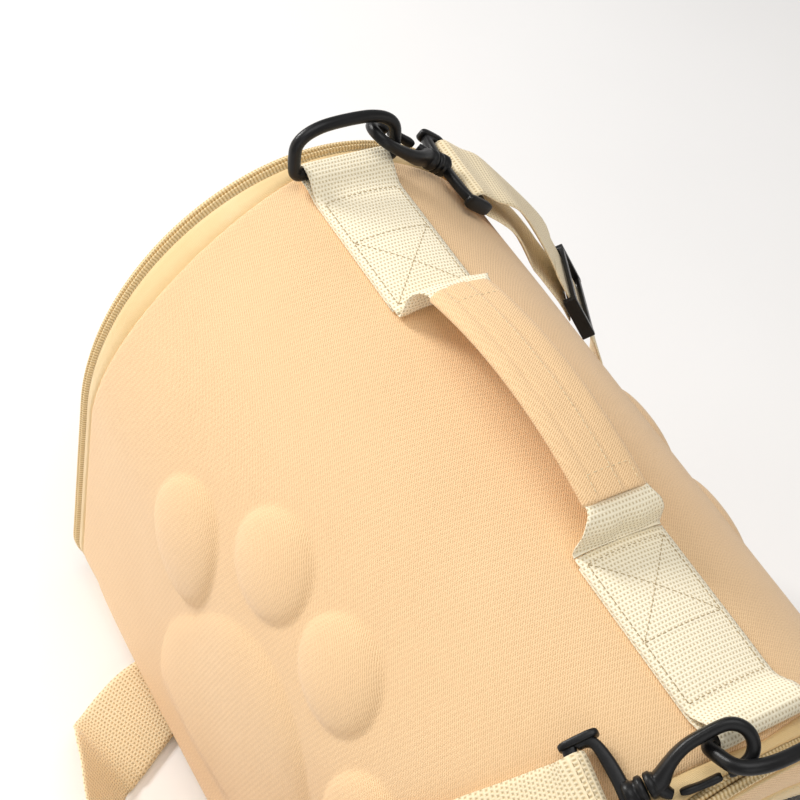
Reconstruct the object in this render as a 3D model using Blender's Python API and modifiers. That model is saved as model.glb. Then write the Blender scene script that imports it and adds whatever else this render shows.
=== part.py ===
"""Hard-shell tunnel pet carrier bag with webbing grip, two zipped end doors and a clip-on shoulder strap.

Metres, +Z up, floor at z = 0. +X runs along the tunnel, -Y is the side where the strap lies in front.
"""
import math

import bmesh
import bpy
import numpy as np
from mathutils import Matrix, Vector

# ---------------------------------------------------------------- driving dimensions
SHELL_HALF = 0.192          # half length of the moulded shell at the ridge
ARCH_A = 0.130              # half width of the arch
ARCH_B = 0.152              # height of the elliptic crown
CROWN_Z = 0.166             # level where the crown meets the straight sides
TOP_Z = CROWN_Z + ARCH_B    # ridge height
BASE_Z = 0.006              # underside of the shell and of the base panel
CORNER_R = 0.035            # lower corner radius
SHELL_T = 0.0042            # foam sheet with fabric on it
SCALLOP = 0.0105            # how far the shell edge is cut back between ridge and side
RIM_HALF = 0.206            # outer end of the zipped rim
RIM_Z = 0.012               # lower ends of the zipped rim
CHAIN_W = 0.0040            # each half of the zip
GAP = 0.0004                # play between pieces that are sewn or fitted together
DOOR_T = 0.0030
WINDOW_INSET = 0.040
HINGE_X = 0.2015
HINGE_Z = 0.0130
WEB_W = 0.050               # webbing width
WEB_T = 0.0016              # ridge webbing thickness
STRAP_T = 0.0018            # shoulder strap thickness
RING_X = {-1: 0.182, 1: 0.185}  # D-ring bars, far and near
RING_Z = TOP_Z + 0.0055
RING_HALF = 0.030           # D-ring bar centre line half width
RING_R = 0.0034             # D-ring wire radius
RING_RISE = 0.0265          # D-ring height, bar to crown, on centre lines
LIFT_X = 0.0805             # where the grip webbing leaves the ridge
GRIP_X = 0.068              # ends of the grip sleeve
SLEEVE_HALF = 0.0180        # half width of the grip sleeve
GRIP_END_Z = TOP_Z + 0.0200
GRIP_MID_Z = TOP_Z + 0.0295
HOOK_BOW = 0.0615           # strap bar to the middle of the hook bow
TOE_H = 0.0062              # height of the moulded toes
PAD_H = 0.0072              # height of the moulded main pad
PAW_X = 0.0155              # middle of the moulded paw

PEACH = (0.80, 0.56, 0.33)
CREAM = (0.86, 0.78, 0.60)
SATIN = (0.78, 0.58, 0.28)
COIL = (0.66, 0.50, 0.27)
BLACK = (0.012, 0.012, 0.013)
GREY = (0.30, 0.29, 0.28)

for old in list(bpy.data.objects):
    bpy.data.objects.remove(old, do_unlink=True)

CARRIER = bpy.data.collections.new("pet carrier bag")
CUTTERS = bpy.data.collections.new("cutters")
bpy.context.scene.collection.children.link(CARRIER)
bpy.context.scene.collection.children.link(CUTTERS)


# ---------------------------------------------------------------- helpers
def material(name, colour, roughness, metallic=0.0):
    """Principled material of one colour."""
    mat = bpy.data.materials.new(name)
    mat.use_nodes = True
    shader = mat.node_tree.nodes["Principled BSDF"]
    shader.inputs["Base Color"].default_value = (*colour, 1.0)
    shader.inputs["Roughness"].default_value = roughness
    shader.inputs["Metallic"].default_value = metallic
    return mat


def add_mesh(name, mesh, mat, origin=(0.0, 0.0, 0.0), matrix=None, group=None):
    """Object for a mesh given in world places, or in local places with a matrix."""
    mesh.materials.append(mat)
    obj = bpy.data.objects.new(name, mesh)
    (group or CARRIER).objects.link(obj)
    if matrix is not None:
        obj.matrix_world = matrix
    else:
        mesh.transform(Matrix.Translation(-Vector(origin)))
        obj.location = origin
    return obj


def loft(name, rings, mat, closed=False, origin=(0.0, 0.0, 0.0), matrix=None, group=None):
    """Closed body through rings of equal point count; the ends are capped unless it closes on itself."""
    bm = bmesh.new()
    rows = [[bm.verts.new(p) for p in ring] for ring in rings]
    count = len(rows[0])
    last = len(rows) if closed else len(rows) - 1
    for i in range(last):
        a = rows[i]
        b = rows[(i + 1) % len(rows)]
        for j in range(count):
            k = (j + 1) % count
            bm.faces.new((a[j], a[k], b[k], b[j]))
    if not closed:
        bm.faces.new(list(reversed(rows[0])))
        bm.faces.new(rows[-1])
    bmesh.ops.recalc_face_normals(bm, faces=bm.faces)
    mesh = bpy.data.meshes.new(name)
    bm.to_mesh(mesh)
    bm.free()
    return add_mesh(name, mesh, mat, origin, matrix, group)


def box(name, low, high, mat, bevel=0.0, group=None):
    """Box between two corners, its origin at its middle."""
    mid = [(a + b) / 2 for a, b in zip(low, high)]
    bpy.ops.mesh.primitive_cube_add(size=1.0, location=mid)
    obj = bpy.context.object
    obj.name = name
    obj.data.transform(Matrix.Diagonal((*[b - a for a, b in zip(low, high)], 1.0)))
    obj.data.materials.append(mat)
    for coll in list(obj.users_collection):
        coll.objects.unlink(obj)
    (group or CARRIER).objects.link(obj)
    if bevel:
        mod = obj.modifiers.new("Bevel", "BEVEL")
        mod.width = bevel
        mod.segments = 2
    return obj


def join_to(obj, other):
    """Union of another solid into this one; the other stays as a hidden cutter."""
    CUTTERS.objects.link(other)
    CARRIER.objects.unlink(other)
    other.hide_render = True
    other.display_type = "WIRE"
    mod = obj.modifiers.new("Join " + other.name, "BOOLEAN")
    mod.operation = "UNION"
    mod.solver = "EXACT"
    mod.object = other
    return mod


def arch(inset, base_z, n_corner=6, n_side=6, n_crown=24):
    """Points (y, z) of the arch, left foot over the ridge to the right foot, at an inset from the outside."""
    flat = ARCH_A - CORNER_R
    left = []
    for i in range(n_corner + 1):
        ang = math.radians(90.0 * i / n_corner)
        y = -(flat + (CORNER_R - inset) * math.sin(ang))
        z = base_z + CORNER_R - (CORNER_R - inset) * math.cos(ang)
        left.append((y, z))
    low = base_z + CORNER_R
    for i in range(1, n_side + 1):
        left.append((-(ARCH_A - inset), low + (CROWN_Z - low) * i / n_side))
    for i in range(1, n_crown // 2 + 1):
        ang = math.radians(90.0 * i / (n_crown // 2))
        left.append((-(ARCH_A - inset) * math.cos(ang), CROWN_Z + (ARCH_B - inset) * math.sin(ang)))
    right = [(-y, z) for y, z in reversed(left[:-1])]
    return left + right


def crown_turn(y, z):
    """0 at the ridge, 1 where the crown meets the side."""
    if z <= CROWN_Z:
        return 1.0
    return math.atan2(abs(y) / ARCH_A, (z - CROWN_Z) / ARCH_B) / (math.pi / 2)


def shell_end(y, z):
    """Half length of the shell at a place on the arch."""
    return SHELL_HALF - SCALLOP * math.sin(math.pi * crown_turn(y, z)) ** 1.2 if z > CROWN_Z else SHELL_HALF


def surface_z(y, proud=0.0):
    """Height of the shell's outside at a distance from the ridge line."""
    return CROWN_Z + (ARCH_B + proud) * math.sqrt(max(0.0, 1.0 - (y / (ARCH_A + proud)) ** 2))


def band(name, x_low, x_high, inset, thick, mat, base_z, keep=None, origin=(0.0, 0.0, 0.0), **counts):
    """Strip that follows the arch; x_low and x_high may be functions of (y, z)."""
    outer = arch(inset, base_z, **counts)
    inner = arch(inset + thick, base_z, **counts)
    rings = []
    for (yo, zo), (yi, zi) in zip(outer, inner):
        if keep and not keep(yo, zo):
            continue
        lo = x_low(yo, zo) if callable(x_low) else x_low
        hi = x_high(yo, zo) if callable(x_high) else x_high
        rings.append([(lo, yo, zo), (hi, yo, zo), (hi, yi, zi), (lo, yi, zi)])
    return loft(name, rings, mat, origin=origin)


def smooth_path(points, steps):
    """Catmull-Rom curve through points of any width."""
    pts = [np.array(p, float) for p in points]
    pts = [2 * pts[0] - pts[1]] + pts + [2 * pts[-1] - pts[-2]]
    out = []
    for i in range(1, len(pts) - 2):
        p0, p1, p2, p3 = pts[i - 1:i + 3]
        for k in range(steps):
            t = k / steps
            out.append(0.5 * (2 * p1 + (p2 - p0) * t + (2 * p0 - 5 * p1 + 4 * p2 - p3) * t ** 2
                              + (3 * p1 - p0 - 3 * p2 + p3) * t ** 3))
    out.append(pts[-2])
    return out


def ribbon(name, centres, widths, thick, width, mat, **kw):
    """Flat strip along centres, widths giving the direction across it."""
    rings = []
    n = len(centres)
    for i in range(n):
        c = Vector(centres[i])
        t = Vector(centres[min(i + 1, n - 1)]) - Vector(centres[max(i - 1, 0)])
        t.normalize()
        w = Vector(widths[i])
        w = (w - t * w.dot(t)).normalized()
        up = t.cross(w)
        a = w * (width / 2)
        b = up * (thick / 2)
        rings.append([c - a - b, c + a - b, c + a + b, c - a + b])
    return loft(name, [[tuple(p) for p in r] for r in rings], mat, **kw)


def tube_rings(path, radii, flat=1.0, sides=10, normal=(0.0, 0.0, 1.0), closed=False):
    """Rings round a path; radii may change along it, flat scales them along the normal."""
    rings = []
    n = len(path)
    for i in range(n):
        if closed:
            t = Vector(path[(i + 1) % n]) - Vector(path[i - 1])
        else:
            t = Vector(path[min(i + 1, n - 1)]) - Vector(path[max(i - 1, 0)])
        t.normalize()
        up = Vector(normal)
        side = up.cross(t).normalized()
        up = t.cross(side)
        r = radii[i] if hasattr(radii, "__len__") else radii
        c = Vector(path[i])
        ring = []
        for j in range(sides):
            ang = 2 * math.pi * (j + 0.5) / sides
            ring.append(tuple(c + side * (r * math.cos(ang)) + up * (r * flat * math.sin(ang))))
        rings.append(ring)
    return rings


def frame_matrix(origin, x_axis, z_axis):
    """Placement with local x along x_axis and local z as near z_axis as it can be."""
    x = Vector(x_axis).normalized()
    z = Vector(z_axis)
    z = (z - x * z.dot(x)).normalized()
    y = z.cross(x)
    rot = Matrix((x, y, z)).transposed().to_4x4()
    return Matrix.Translation(Vector(origin)) @ rot


# ---------------------------------------------------------------- materials
M_SHELL = material("peach shell fabric", PEACH, 0.80)
M_GRIP = material("grip fabric", (0.80, 0.57, 0.34), 0.82)
M_WEB = material("cream webbing", CREAM, 0.75)
M_STRAP = material("strap webbing", (0.84, 0.72, 0.52), 0.75)
M_SATIN = material("gusset fabric", SATIN, 0.45)
M_COIL = material("zip tape", COIL, 0.55)
M_BLACK = material("black plastic", BLACK, 0.35)
M_LINING = material("lining fabric", (0.55, 0.50, 0.44), 0.85)
M_MESH = material("mesh fabric", (0.10, 0.09, 0.08), 0.70)
M_BASE = material("base fabric", (0.72, 0.50, 0.30), 0.80)
M_BOARD = material("base_board", GREY, 0.60)
M_MAT = material("mat plush", (0.84, 0.80, 0.72), 0.95)
M_METAL = material("slider metal", (0.62, 0.47, 0.24), 0.35, 0.9)

# ---------------------------------------------------------------- moulded shell with a paw on each side
CROWN_ARC = [0.0]
_fine = [(ARCH_A * math.sin(math.radians(0.5 * i)), ARCH_B * math.cos(math.radians(0.5 * i))) for i in range(181)]
for (ya, za), (yb, zb) in zip(_fine, _fine[1:]):
    CROWN_ARC.append(CROWN_ARC[-1] + math.hypot(yb - ya, zb - za))


def arc_from_ridge(y, z):
    """Length over the outside from the ridge to a place on the arch."""
    if z <= CROWN_Z:
        return CROWN_ARC[-1] + CROWN_Z - z
    ang = math.degrees(math.atan2(abs(y) / ARCH_A, (z - CROWN_Z) / ARCH_B))
    i = min(int(ang / 0.5), 179)
    return CROWN_ARC[i] + (CROWN_ARC[i + 1] - CROWN_ARC[i]) * (ang / 0.5 - i)


TOES = [(-0.0942, 0.2008, 0.0308, 0.0385), (-0.0337, 0.1495, 0.0290, 0.0270),
        (0.0337, 0.1495, 0.0290, 0.0270), (0.0942, 0.2008, 0.0308, 0.0385)]
PADS = [(-0.0045, 0.2680, 0.0670, 0.0790), (-0.0450, 0.3105, 0.0525, 0.0785), (0.0370, 0.2900, 0.0460, 0.0450)]


def corner_at(x, turn, inset):
    """Place (y, z) on the lower left corner: round at the ends, squarer between them; turn is 0 at the foot."""
    power = 2.0 / (2.0 + 3.0 * max(0.0, math.cos(min(abs(x) / 0.17, 1.0) * math.pi / 2)) ** 0.7)
    r = CORNER_R - inset
    return (-(ARCH_A - CORNER_R + r * math.sin(turn) ** power),
            BASE_Z + CORNER_R - r * max(0.0, math.cos(turn)) ** power)


def pad_fade(s):
    """1 over the upper part of the main pad, falling to 0 before the lower corner."""
    t = min(1.0, max(0.0, (s - 0.312) / 0.032))
    return 1.0 - t * t * (3.0 - 2.0 * t)


def emboss(x, y, z):
    """How far the moulded paw stands out of the shell."""
    s = arc_from_ridge(y, z)
    out = 0.0
    for cx, cs, rx, rs in TOES:
        rho = ((x - PAW_X - cx) / rx) ** 2 + ((s - cs) / rs) ** 2
        if rho < 1.0:
            out = max(out, TOE_H * (1.0 - rho) ** 0.55)
    lobes = [1.0 - ((x - PAW_X - cx) / rx) ** 2 - ((s - cs) / rs) ** 2 for cx, cs, rx, rs in PADS]
    if max(lobes) > 0.0:
        joined = math.log(sum(math.exp(7.0 * max(q, -3.0)) for q in lobes)) / 7.0
        out = max(out, PAD_H * pad_fade(s) * min(joined, 1.0) ** 0.55)
    return out


def build_shell():
    """Lofted sheet of constant thickness with the paws raised out of both faces."""
    outer = arch(0.0, BASE_Z, n_corner=4, n_side=8, n_crown=40)
    inner = arch(SHELL_T, BASE_Z, n_corner=4, n_side=8, n_crown=40)
    steps = [-1.0, -0.80] + [-0.63 + 1.34 * i / 23 for i in range(24)] + [0.86, 1.0]
    rings = []
    last = len(outer) - 1
    for k, ((yo, zo), (yi, zi)) in enumerate(zip(outer, inner)):
        ny, nz = yo - yi, zo - zi
        size = math.hypot(ny, nz)
        ny, nz = ny / size, nz / size
        half = shell_end(yo, zo)
        out_row = []
        in_row = []
        foot = min(k, last - k)
        for u in steps:
            x = u * half
            if foot <= 4:
                flip = 1.0 if k == foot else -1.0
                for row, inset in ((out_row, 0.0), (in_row, SHELL_T)):
                    cy, cz = corner_at(x, math.radians(22.5 * foot), inset)
                    row.append((x, flip * cy, cz))
                continue
            h = emboss(x, yo, zo) if abs(u) < 0.99 else 0.0
            out_row.append((x, yo + ny * h, zo + nz * h))
            in_row.append((x, yi + ny * h * 0.85, zi + nz * h * 0.85))
        rings.append(out_row + list(reversed(in_row)))
    return loft("moulded_shell", rings, M_SHELL)


build_shell()
band("lining", -0.1780, 0.1780, SHELL_T + GAP, 0.0008, M_LINING, BASE_Z, n_corner=4, n_side=2, n_crown=20)

# ---------------------------------------------------------------- base, board and mat
BASE_HALF_Y = ARCH_A - CORNER_R - 0.0008
base = box("base_panel", (-0.1960, -BASE_HALF_Y, BASE_Z), (0.1960, BASE_HALF_Y, BASE_Z + 0.0040), M_BASE)
FEET = [(-0.182, -0.062), (-0.182, 0.062), (0.182, -0.062), (0.182, 0.062), (0.0, 0.0)]
for i, (fx, fy) in enumerate(FEET):
    foot = box("foot_%d" % (i + 1), (fx - 0.012, fy - 0.013, 0.0), (fx + 0.012, fy + 0.013, BASE_Z + 0.002), M_BASE)
    join_to(base, foot)
box("base_board", (-0.188, -0.0900, 0.0110), (0.188, 0.0900, 0.0130), M_BOARD, 0.0006)
box("mat", (-0.184, -0.0980, 0.0134), (0.184, 0.0980, 0.0284), M_MAT, 0.0045)

# ---------------------------------------------------------------- both ends: gusset, zip, door
RIM_X0 = RIM_HALF - 2 * CHAIN_W - 0.0004


def above_rim(y, z):
    return z >= RIM_Z


for side, word in ((-1, "far"), (1, "near")):
    def span(low, high, sgn=side):
        """x limits of a strip on this end, in rising order."""
        if sgn > 0:
            return low, high
        neg_hi = (lambda y, z, f=high: -f(y, z)) if callable(high) else -high
        neg_lo = (lambda y, z, f=low: -f(y, z)) if callable(low) else -low
        return neg_hi, neg_lo

    lo, hi = span(lambda y, z: shell_end(y, z) + GAP, RIM_X0 - GAP)
    band("gusset_" + word, lo, hi, 0.0006, 0.0016, M_SATIN, BASE_Z, keep=above_rim, n_corner=6, n_side=2, n_crown=28)
    lo, hi = span(RIM_X0, RIM_X0 + CHAIN_W)
    band("body_zip_half_" + word, lo, hi, 0.0002, 0.0020, M_COIL, BASE_Z, keep=above_rim,
         n_corner=6, n_side=2, n_crown=28)
    lo, hi = span(RIM_HALF - CHAIN_W, RIM_HALF)
    pivot = (side * HINGE_X, 0.0, HINGE_Z)
    band("door_zip_half_" + word, lo, hi, 0.0002, 0.0020, M_COIL, BASE_Z, keep=above_rim, origin=pivot,
         n_corner=6, n_side=2, n_crown=28)

    def border_rings(inset_a, inset_b, x_in, x_out):
        """Rings of a flat frame between two insets."""
        ref = arch(inset_a, BASE_Z, n_corner=6, n_side=2, n_crown=28)
        ref_in = arch(inset_b, BASE_Z, n_corner=6, n_side=2, n_crown=28)
        low_a = HINGE_Z - 0.0005
        low_b = HINGE_Z + (inset_b - inset_a)
        a_pts = [(y, max(z, low_a)) for y, z in ref]
        b_pts = [(y, max(z, low_b)) for y, z in ref_in]
        n = len(a_pts)
        flat_n = 6
        for k in range(1, flat_n):
            f = k / flat_n
            ya = a_pts[n - 1][0] + (a_pts[0][0] - a_pts[n - 1][0]) * f
            yb = b_pts[n - 1][0] + (b_pts[0][0] - b_pts[n - 1][0]) * f
            a_pts.append((ya, low_a))
            b_pts.append((yb, low_b))
        return [[(x_out, ya, za), (x_out, yb, zb), (x_in, yb, zb), (x_in, ya, za)]
                for (ya, za), (yb, zb) in zip(a_pts, b_pts)]

    x_in = side * (RIM_HALF - 0.0005 - DOOR_T)
    x_out = side * (RIM_HALF - 0.0005)
    loft("door_border_" + word, border_rings(0.0026, WINDOW_INSET, x_in, x_out), M_SHELL, closed=True, origin=pivot)
    w0 = arch(WINDOW_INSET - 0.006, BASE_Z, n_corner=6, n_side=2, n_crown=28)
    low_w = HINGE_Z + WINDOW_INSET - 0.0026 - 0.006
    mesh_pts = [(y, max(z, low_w)) for y, z in w0]
    x_a = side * (RIM_HALF - 0.0005 - DOOR_T - GAP)
    x_b = side * (RIM_HALF - 0.0005 - DOOR_T - GAP - 0.0010)
    loft("door_mesh_" + word, [[(x_b, y, z) for y, z in mesh_pts], [(x_a, y, z) for y, z in mesh_pts]],
         M_MESH, origin=pivot)
    box("door_hinge_strip_" + word, (min(side * 0.1964, side * 0.2012), -0.0840, 0.0072),
        (max(side * 0.1964, side * 0.2012), 0.0840, 0.0094), M_SATIN)

    # zip slider and its pull, at the foot of the zip on the right side
    sx = side * (RIM_HALF - CHAIN_W)
    slider = box("zip_slider_" + word, (sx - 0.0042, ARCH_A + 0.0002, 0.0560), (sx + 0.0042, ARCH_A + 0.0026, 0.0670),
                 M_METAL, 0.0006)
    bridge = box("slider_bridge_" + word, (sx - 0.0012, ARCH_A + 0.0018, 0.0585), (sx + 0.0012, ARCH_A + 0.0050, 0.0645),
                 M_METAL)
    join_to(slider, bridge)
    hole = box("slider_hole_" + word, (sx - 0.0030, ARCH_A + 0.0028, 0.0600), (sx + 0.0030, ARCH_A + 0.0042, 0.0630),
               M_METAL)
    CUTTERS.objects.link(hole)
    CARRIER.objects.unlink(hole)
    hole.hide_render = True
    hole.display_type = "WIRE"
    cut = slider.modifiers.new("Hole", "BOOLEAN")
    cut.operation = "DIFFERENCE"
    cut.solver = "EXACT"
    cut.object = hole
    pull_path = [(0.0, -0.0018), (0.0030, -0.0018), (0.0030, 0.0018), (0.0, 0.0018)]
    eye_y = ARCH_A + 0.0035
    ring_pts = [(sx - 0.0026, eye_y, 0.0615), (sx + 0.0026, eye_y, 0.0615), (sx + 0.0030, eye_y + 0.0006, 0.0560),
                (sx + 0.0026, eye_y + 0.0004, 0.0370), (sx - 0.0026, eye_y + 0.0004, 0.0370),
                (sx - 0.0030, eye_y + 0.0006, 0.0560)]
    loft("zip_pull_" + word, tube_rings(ring_pts, 0.00055, sides=6, normal=(0.0, 1.0, 0.0), closed=True), M_METAL,
         closed=True, origin=(sx, eye_y, 0.0615))


# ---------------------------------------------------------------- webbing on the ridge, round each D-ring bar
def web_rings(path, flatten):
    """Cross sections that hug the ridge; path gives (x, proud, layer tilt) places, flatten how level each lies."""
    rings = []
    n = len(path)
    for i in range(n):
        x, z = path[i]
        xa, za = path[max(i - 1, 0)]
        xb, zb = path[min(i + 1, n - 1)]
        tx, tz = xb - xa, zb - za
        size = math.hypot(tx, tz)
        nx, nz = -tz / size, tx / size
        upper = []
        lower = []
        for k in range(7):
            y = WEB_W * (k / 6 - 0.5)
            drop = (surface_z(y) - TOP_Z) * (1.0 - flatten[i])
            upper.append((x + nx * WEB_T / 2, y, z + nz * WEB_T / 2 + drop))
            lower.append((x - nx * WEB_T / 2, y, z - nz * WEB_T / 2 + drop))
        rings.append(upper + list(reversed(lower)))
    return rings


Z_LOW = TOP_Z + 0.0003 + WEB_T / 2
Z_UP = Z_LOW + WEB_T + 0.0003
for side, word in ((-1, "far"), (1, "near")):
    bar_x = RING_X[side]
    path = []
    flat = []
    for f in (0.0, 0.25, 0.5, 0.75):
        path.append((side * (LIFT_X + 0.004 + (bar_x - 0.020 - LIFT_X - 0.004) * f), Z_LOW))
        flat.append(0.0)
    for x, f in ((bar_x - 0.018, 0.0), (bar_x - 0.012, 0.35), (bar_x - 0.007, 0.8)):
        path.append((side * x, Z_LOW))
        flat.append(f)
    turn_r = RING_R + 0.0004 + WEB_T / 2
    for k in range(9):
        ang = math.radians(-90 + 22.5 * k)
        path.append((side * (bar_x + turn_r * math.cos(ang)), RING_Z + turn_r * math.sin(ang)))
        flat.append(1.0)
    top_z = RING_Z + turn_r
    for x, f, d in ((bar_x - 0.007, 0.85, 0.25), (bar_x - 0.013, 0.45, 0.75), (bar_x - 0.020, 0.0, 1.0)):
        path.append((side * x, top_z + (Z_UP - top_z) * d))
        flat.append(f)
    for f in (0.3, 0.65, 1.0):
        path.append((side * (bar_x - 0.020 + (LIFT_X - bar_x + 0.020) * f), Z_UP))
        flat.append(0.0)
    if side < 0:
        path.reverse()
        flat.reverse()
    loft("ridge_webbing_" + word, web_rings(path, flat), M_WEB)

# ---------------------------------------------------------------- grip
GRIP_PTS = 13


def grip_z(x):
    """Centre height of the grip."""
    return GRIP_END_Z + (GRIP_MID_Z - GRIP_END_Z) * (1.0 - (x / GRIP_X) ** 2)


grip_x = [GRIP_X * (2 * i / (GRIP_PTS - 1) - 1.0) for i in range(GRIP_PTS)]
CORE_HALF_T = 0.0009


def grip_section(x, half_w, half_t, crown):
    """Flat section, a little crowned across, at a place along the grip."""
    slope = -2.0 * (GRIP_MID_Z - GRIP_END_Z) * x / GRIP_X ** 2
    n = Vector((-slope, 0.0, 1.0)).normalized()
    c = Vector((x, 0.0, grip_z(x)))
    upper = []
    lower = []
    for k in range(7):
        v = k / 3 - 1.0
        edge = max(0.0, 1.0 - abs(v) ** 6) * 0.35 + 0.65
        mid = n * (crown * (1.0 - v * v))
        off = Vector((0.0, half_w * v, 0.0))
        upper.append(tuple(c + off + mid + n * half_t * edge))
        lower.append(tuple(c + off + mid - n * half_t * edge))
    return upper + list(reversed(lower))


def sleeve_ring(x, half_w, half_t, wall):
    """Ring pair for a flat hollow sleeve."""
    return grip_section(x, half_w, half_t, 0.0012), grip_section(x, half_w - wall, half_t - wall, 0.0012)


def build_sleeve():
    """Flat hollow sleeve, open at both ends."""
    bm = bmesh.new()
    outer = []
    inner = []
    for x in grip_x:
        a, b = sleeve_ring(x, SLEEVE_HALF, 0.0036, 0.0013)
        outer.append([bm.verts.new(p) for p in a])
        inner.append([bm.verts.new(p) for p in b])
    count = len(outer[0])
    for rows, flip in ((outer, False), (inner, True)):
        for a, b in zip(rows, rows[1:]):
            for j in range(count):
                k = (j + 1) % count
                quad = (a[j], a[k], b[k], b[j])
                bm.faces.new(tuple(reversed(quad)) if flip else quad)
    for end in (0, -1):
        for j in range(count):
            k = (j + 1) % count
            bm.faces.new((outer[end][j], outer[end][k], inner[end][k], inner[end][j]))
    bmesh.ops.recalc_face_normals(bm, faces=bm.faces)
    mesh = bpy.data.meshes.new("grip_sleeve")
    bm.to_mesh(mesh)
    bm.free()
    return add_mesh("grip_sleeve", mesh, M_GRIP)


build_sleeve()
loft("grip_core", [grip_section(x * 0.992, SLEEVE_HALF - 0.0019, 0.0016, 0.0012) for x in grip_x], M_WEB)

for side, word in ((-1, "far"), (1, "near")):
    z_in = grip_z(GRIP_X)
    run = smooth_path([(LIFT_X - 0.0014, Z_UP), (LIFT_X - 0.0018, Z_UP + 0.0050), (LIFT_X - 0.0026, Z_UP + 0.0110),
                       (LIFT_X - 0.0050, z_in - 0.0015), (GRIP_X + 0.0035, z_in + 0.0009), (GRIP_X + 0.0006, z_in + 0.0012)], 3)
    pts = [(side * p[0], p[1]) for p in run]
    levels = [min(1.0, i / 5.0) for i in range(len(pts))]
    if side > 0:
        pts.reverse()
        levels.reverse()
    rings = []
    n = len(pts)
    for i in range(n):
        x, z = pts[i]
        tx = pts[min(i + 1, n - 1)][0] - pts[max(i - 1, 0)][0]
        tz = pts[min(i + 1, n - 1)][1] - pts[max(i - 1, 0)][1]
        size = math.hypot(tx, tz)
        nx, nz = -tz / size, tx / size
        upper = []
        lower = []
        for k in range(7):
            wide = WEB_W + (2 * SLEEVE_HALF - 0.002 - WEB_W) * min(1.0, (i if side < 0 else n - 1 - i) / (n - 1) * 1.15)
            y = wide * (k / 6 - 0.5)
            drop = (surface_z(y) - TOP_Z) * (1.0 - 0.6 * levels[i])
            upper.append((x + nx * WEB_T / 2, y, z + nz * WEB_T / 2 + drop))
            lower.append((x - nx * WEB_T / 2, y, z - nz * WEB_T / 2 + drop))
        rings.append(upper + list(reversed(lower)))
    loft("grip_webbing_" + word, rings, M_WEB)

# ---------------------------------------------------------------- D-rings
RING_LEAN = {-1: Vector((-0.208, 0.0, 0.978)), 1: Vector((0.899, 0.0, 0.438))}


def ring_path(side):
    """Closed D in the plane of the bar and the lean."""
    up = RING_LEAN[side].normalized()
    c = Vector((side * RING_X[side], 0.0, RING_Z))
    leg = RING_RISE - 0.014
    pts = []
    for k in range(5):
        pts.append((RING_HALF * (k / 2 - 1.0) * 0.90, 0.0))
    pts += [(RING_HALF * 0.97, 0.0010), (RING_HALF, 0.0040), (RING_HALF, leg)]
    for k in range(1, 12):
        ang = math.radians(180.0 * k / 12)
        pts.append((RING_HALF * math.copysign(abs(math.cos(ang)) ** 0.75, math.cos(ang)),
                    leg + 0.014 * abs(math.sin(ang)) ** 0.85))
    pts += [(-RING_HALF, leg), (-RING_HALF, 0.0040), (-RING_HALF * 0.97, 0.0010)]
    return [c + Vector((0.0, 1.0, 0.0)) * a + up * b for a, b in pts]


for side, word in ((-1, "far"), (1, "near")):
    path = ring_path(side)
    plane_n = Vector((0.0, 1.0, 0.0)).cross(RING_LEAN[side])
    loft("D_ring_" + word, tube_rings(path, RING_R, sides=10, normal=plane_n, closed=True), M_BLACK, closed=True,
         origin=(side * RING_X[side], 0.0, RING_Z))

# ---------------------------------------------------------------- swivel hooks
HOOK_FRAME = {
    "far": frame_matrix((-0.1772, 0.0747, TOP_Z - 0.0176), (-0.0063, -0.0447, 0.0304), (0.0, 0.60, 0.80)),
    "near": frame_matrix((0.1820, -0.0765, TOP_Z - 0.0185), (0.0093, 0.0465, 0.0276), (0.0, -0.60, 0.80)),
}
HOOK_TURN = {"far": 0.0, "near": 30.0}     # how far each hook is turned on its swivel
BOW_X = HOOK_BOW
BOW_R = 0.0094
SPINE_R = 0.0030


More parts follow.
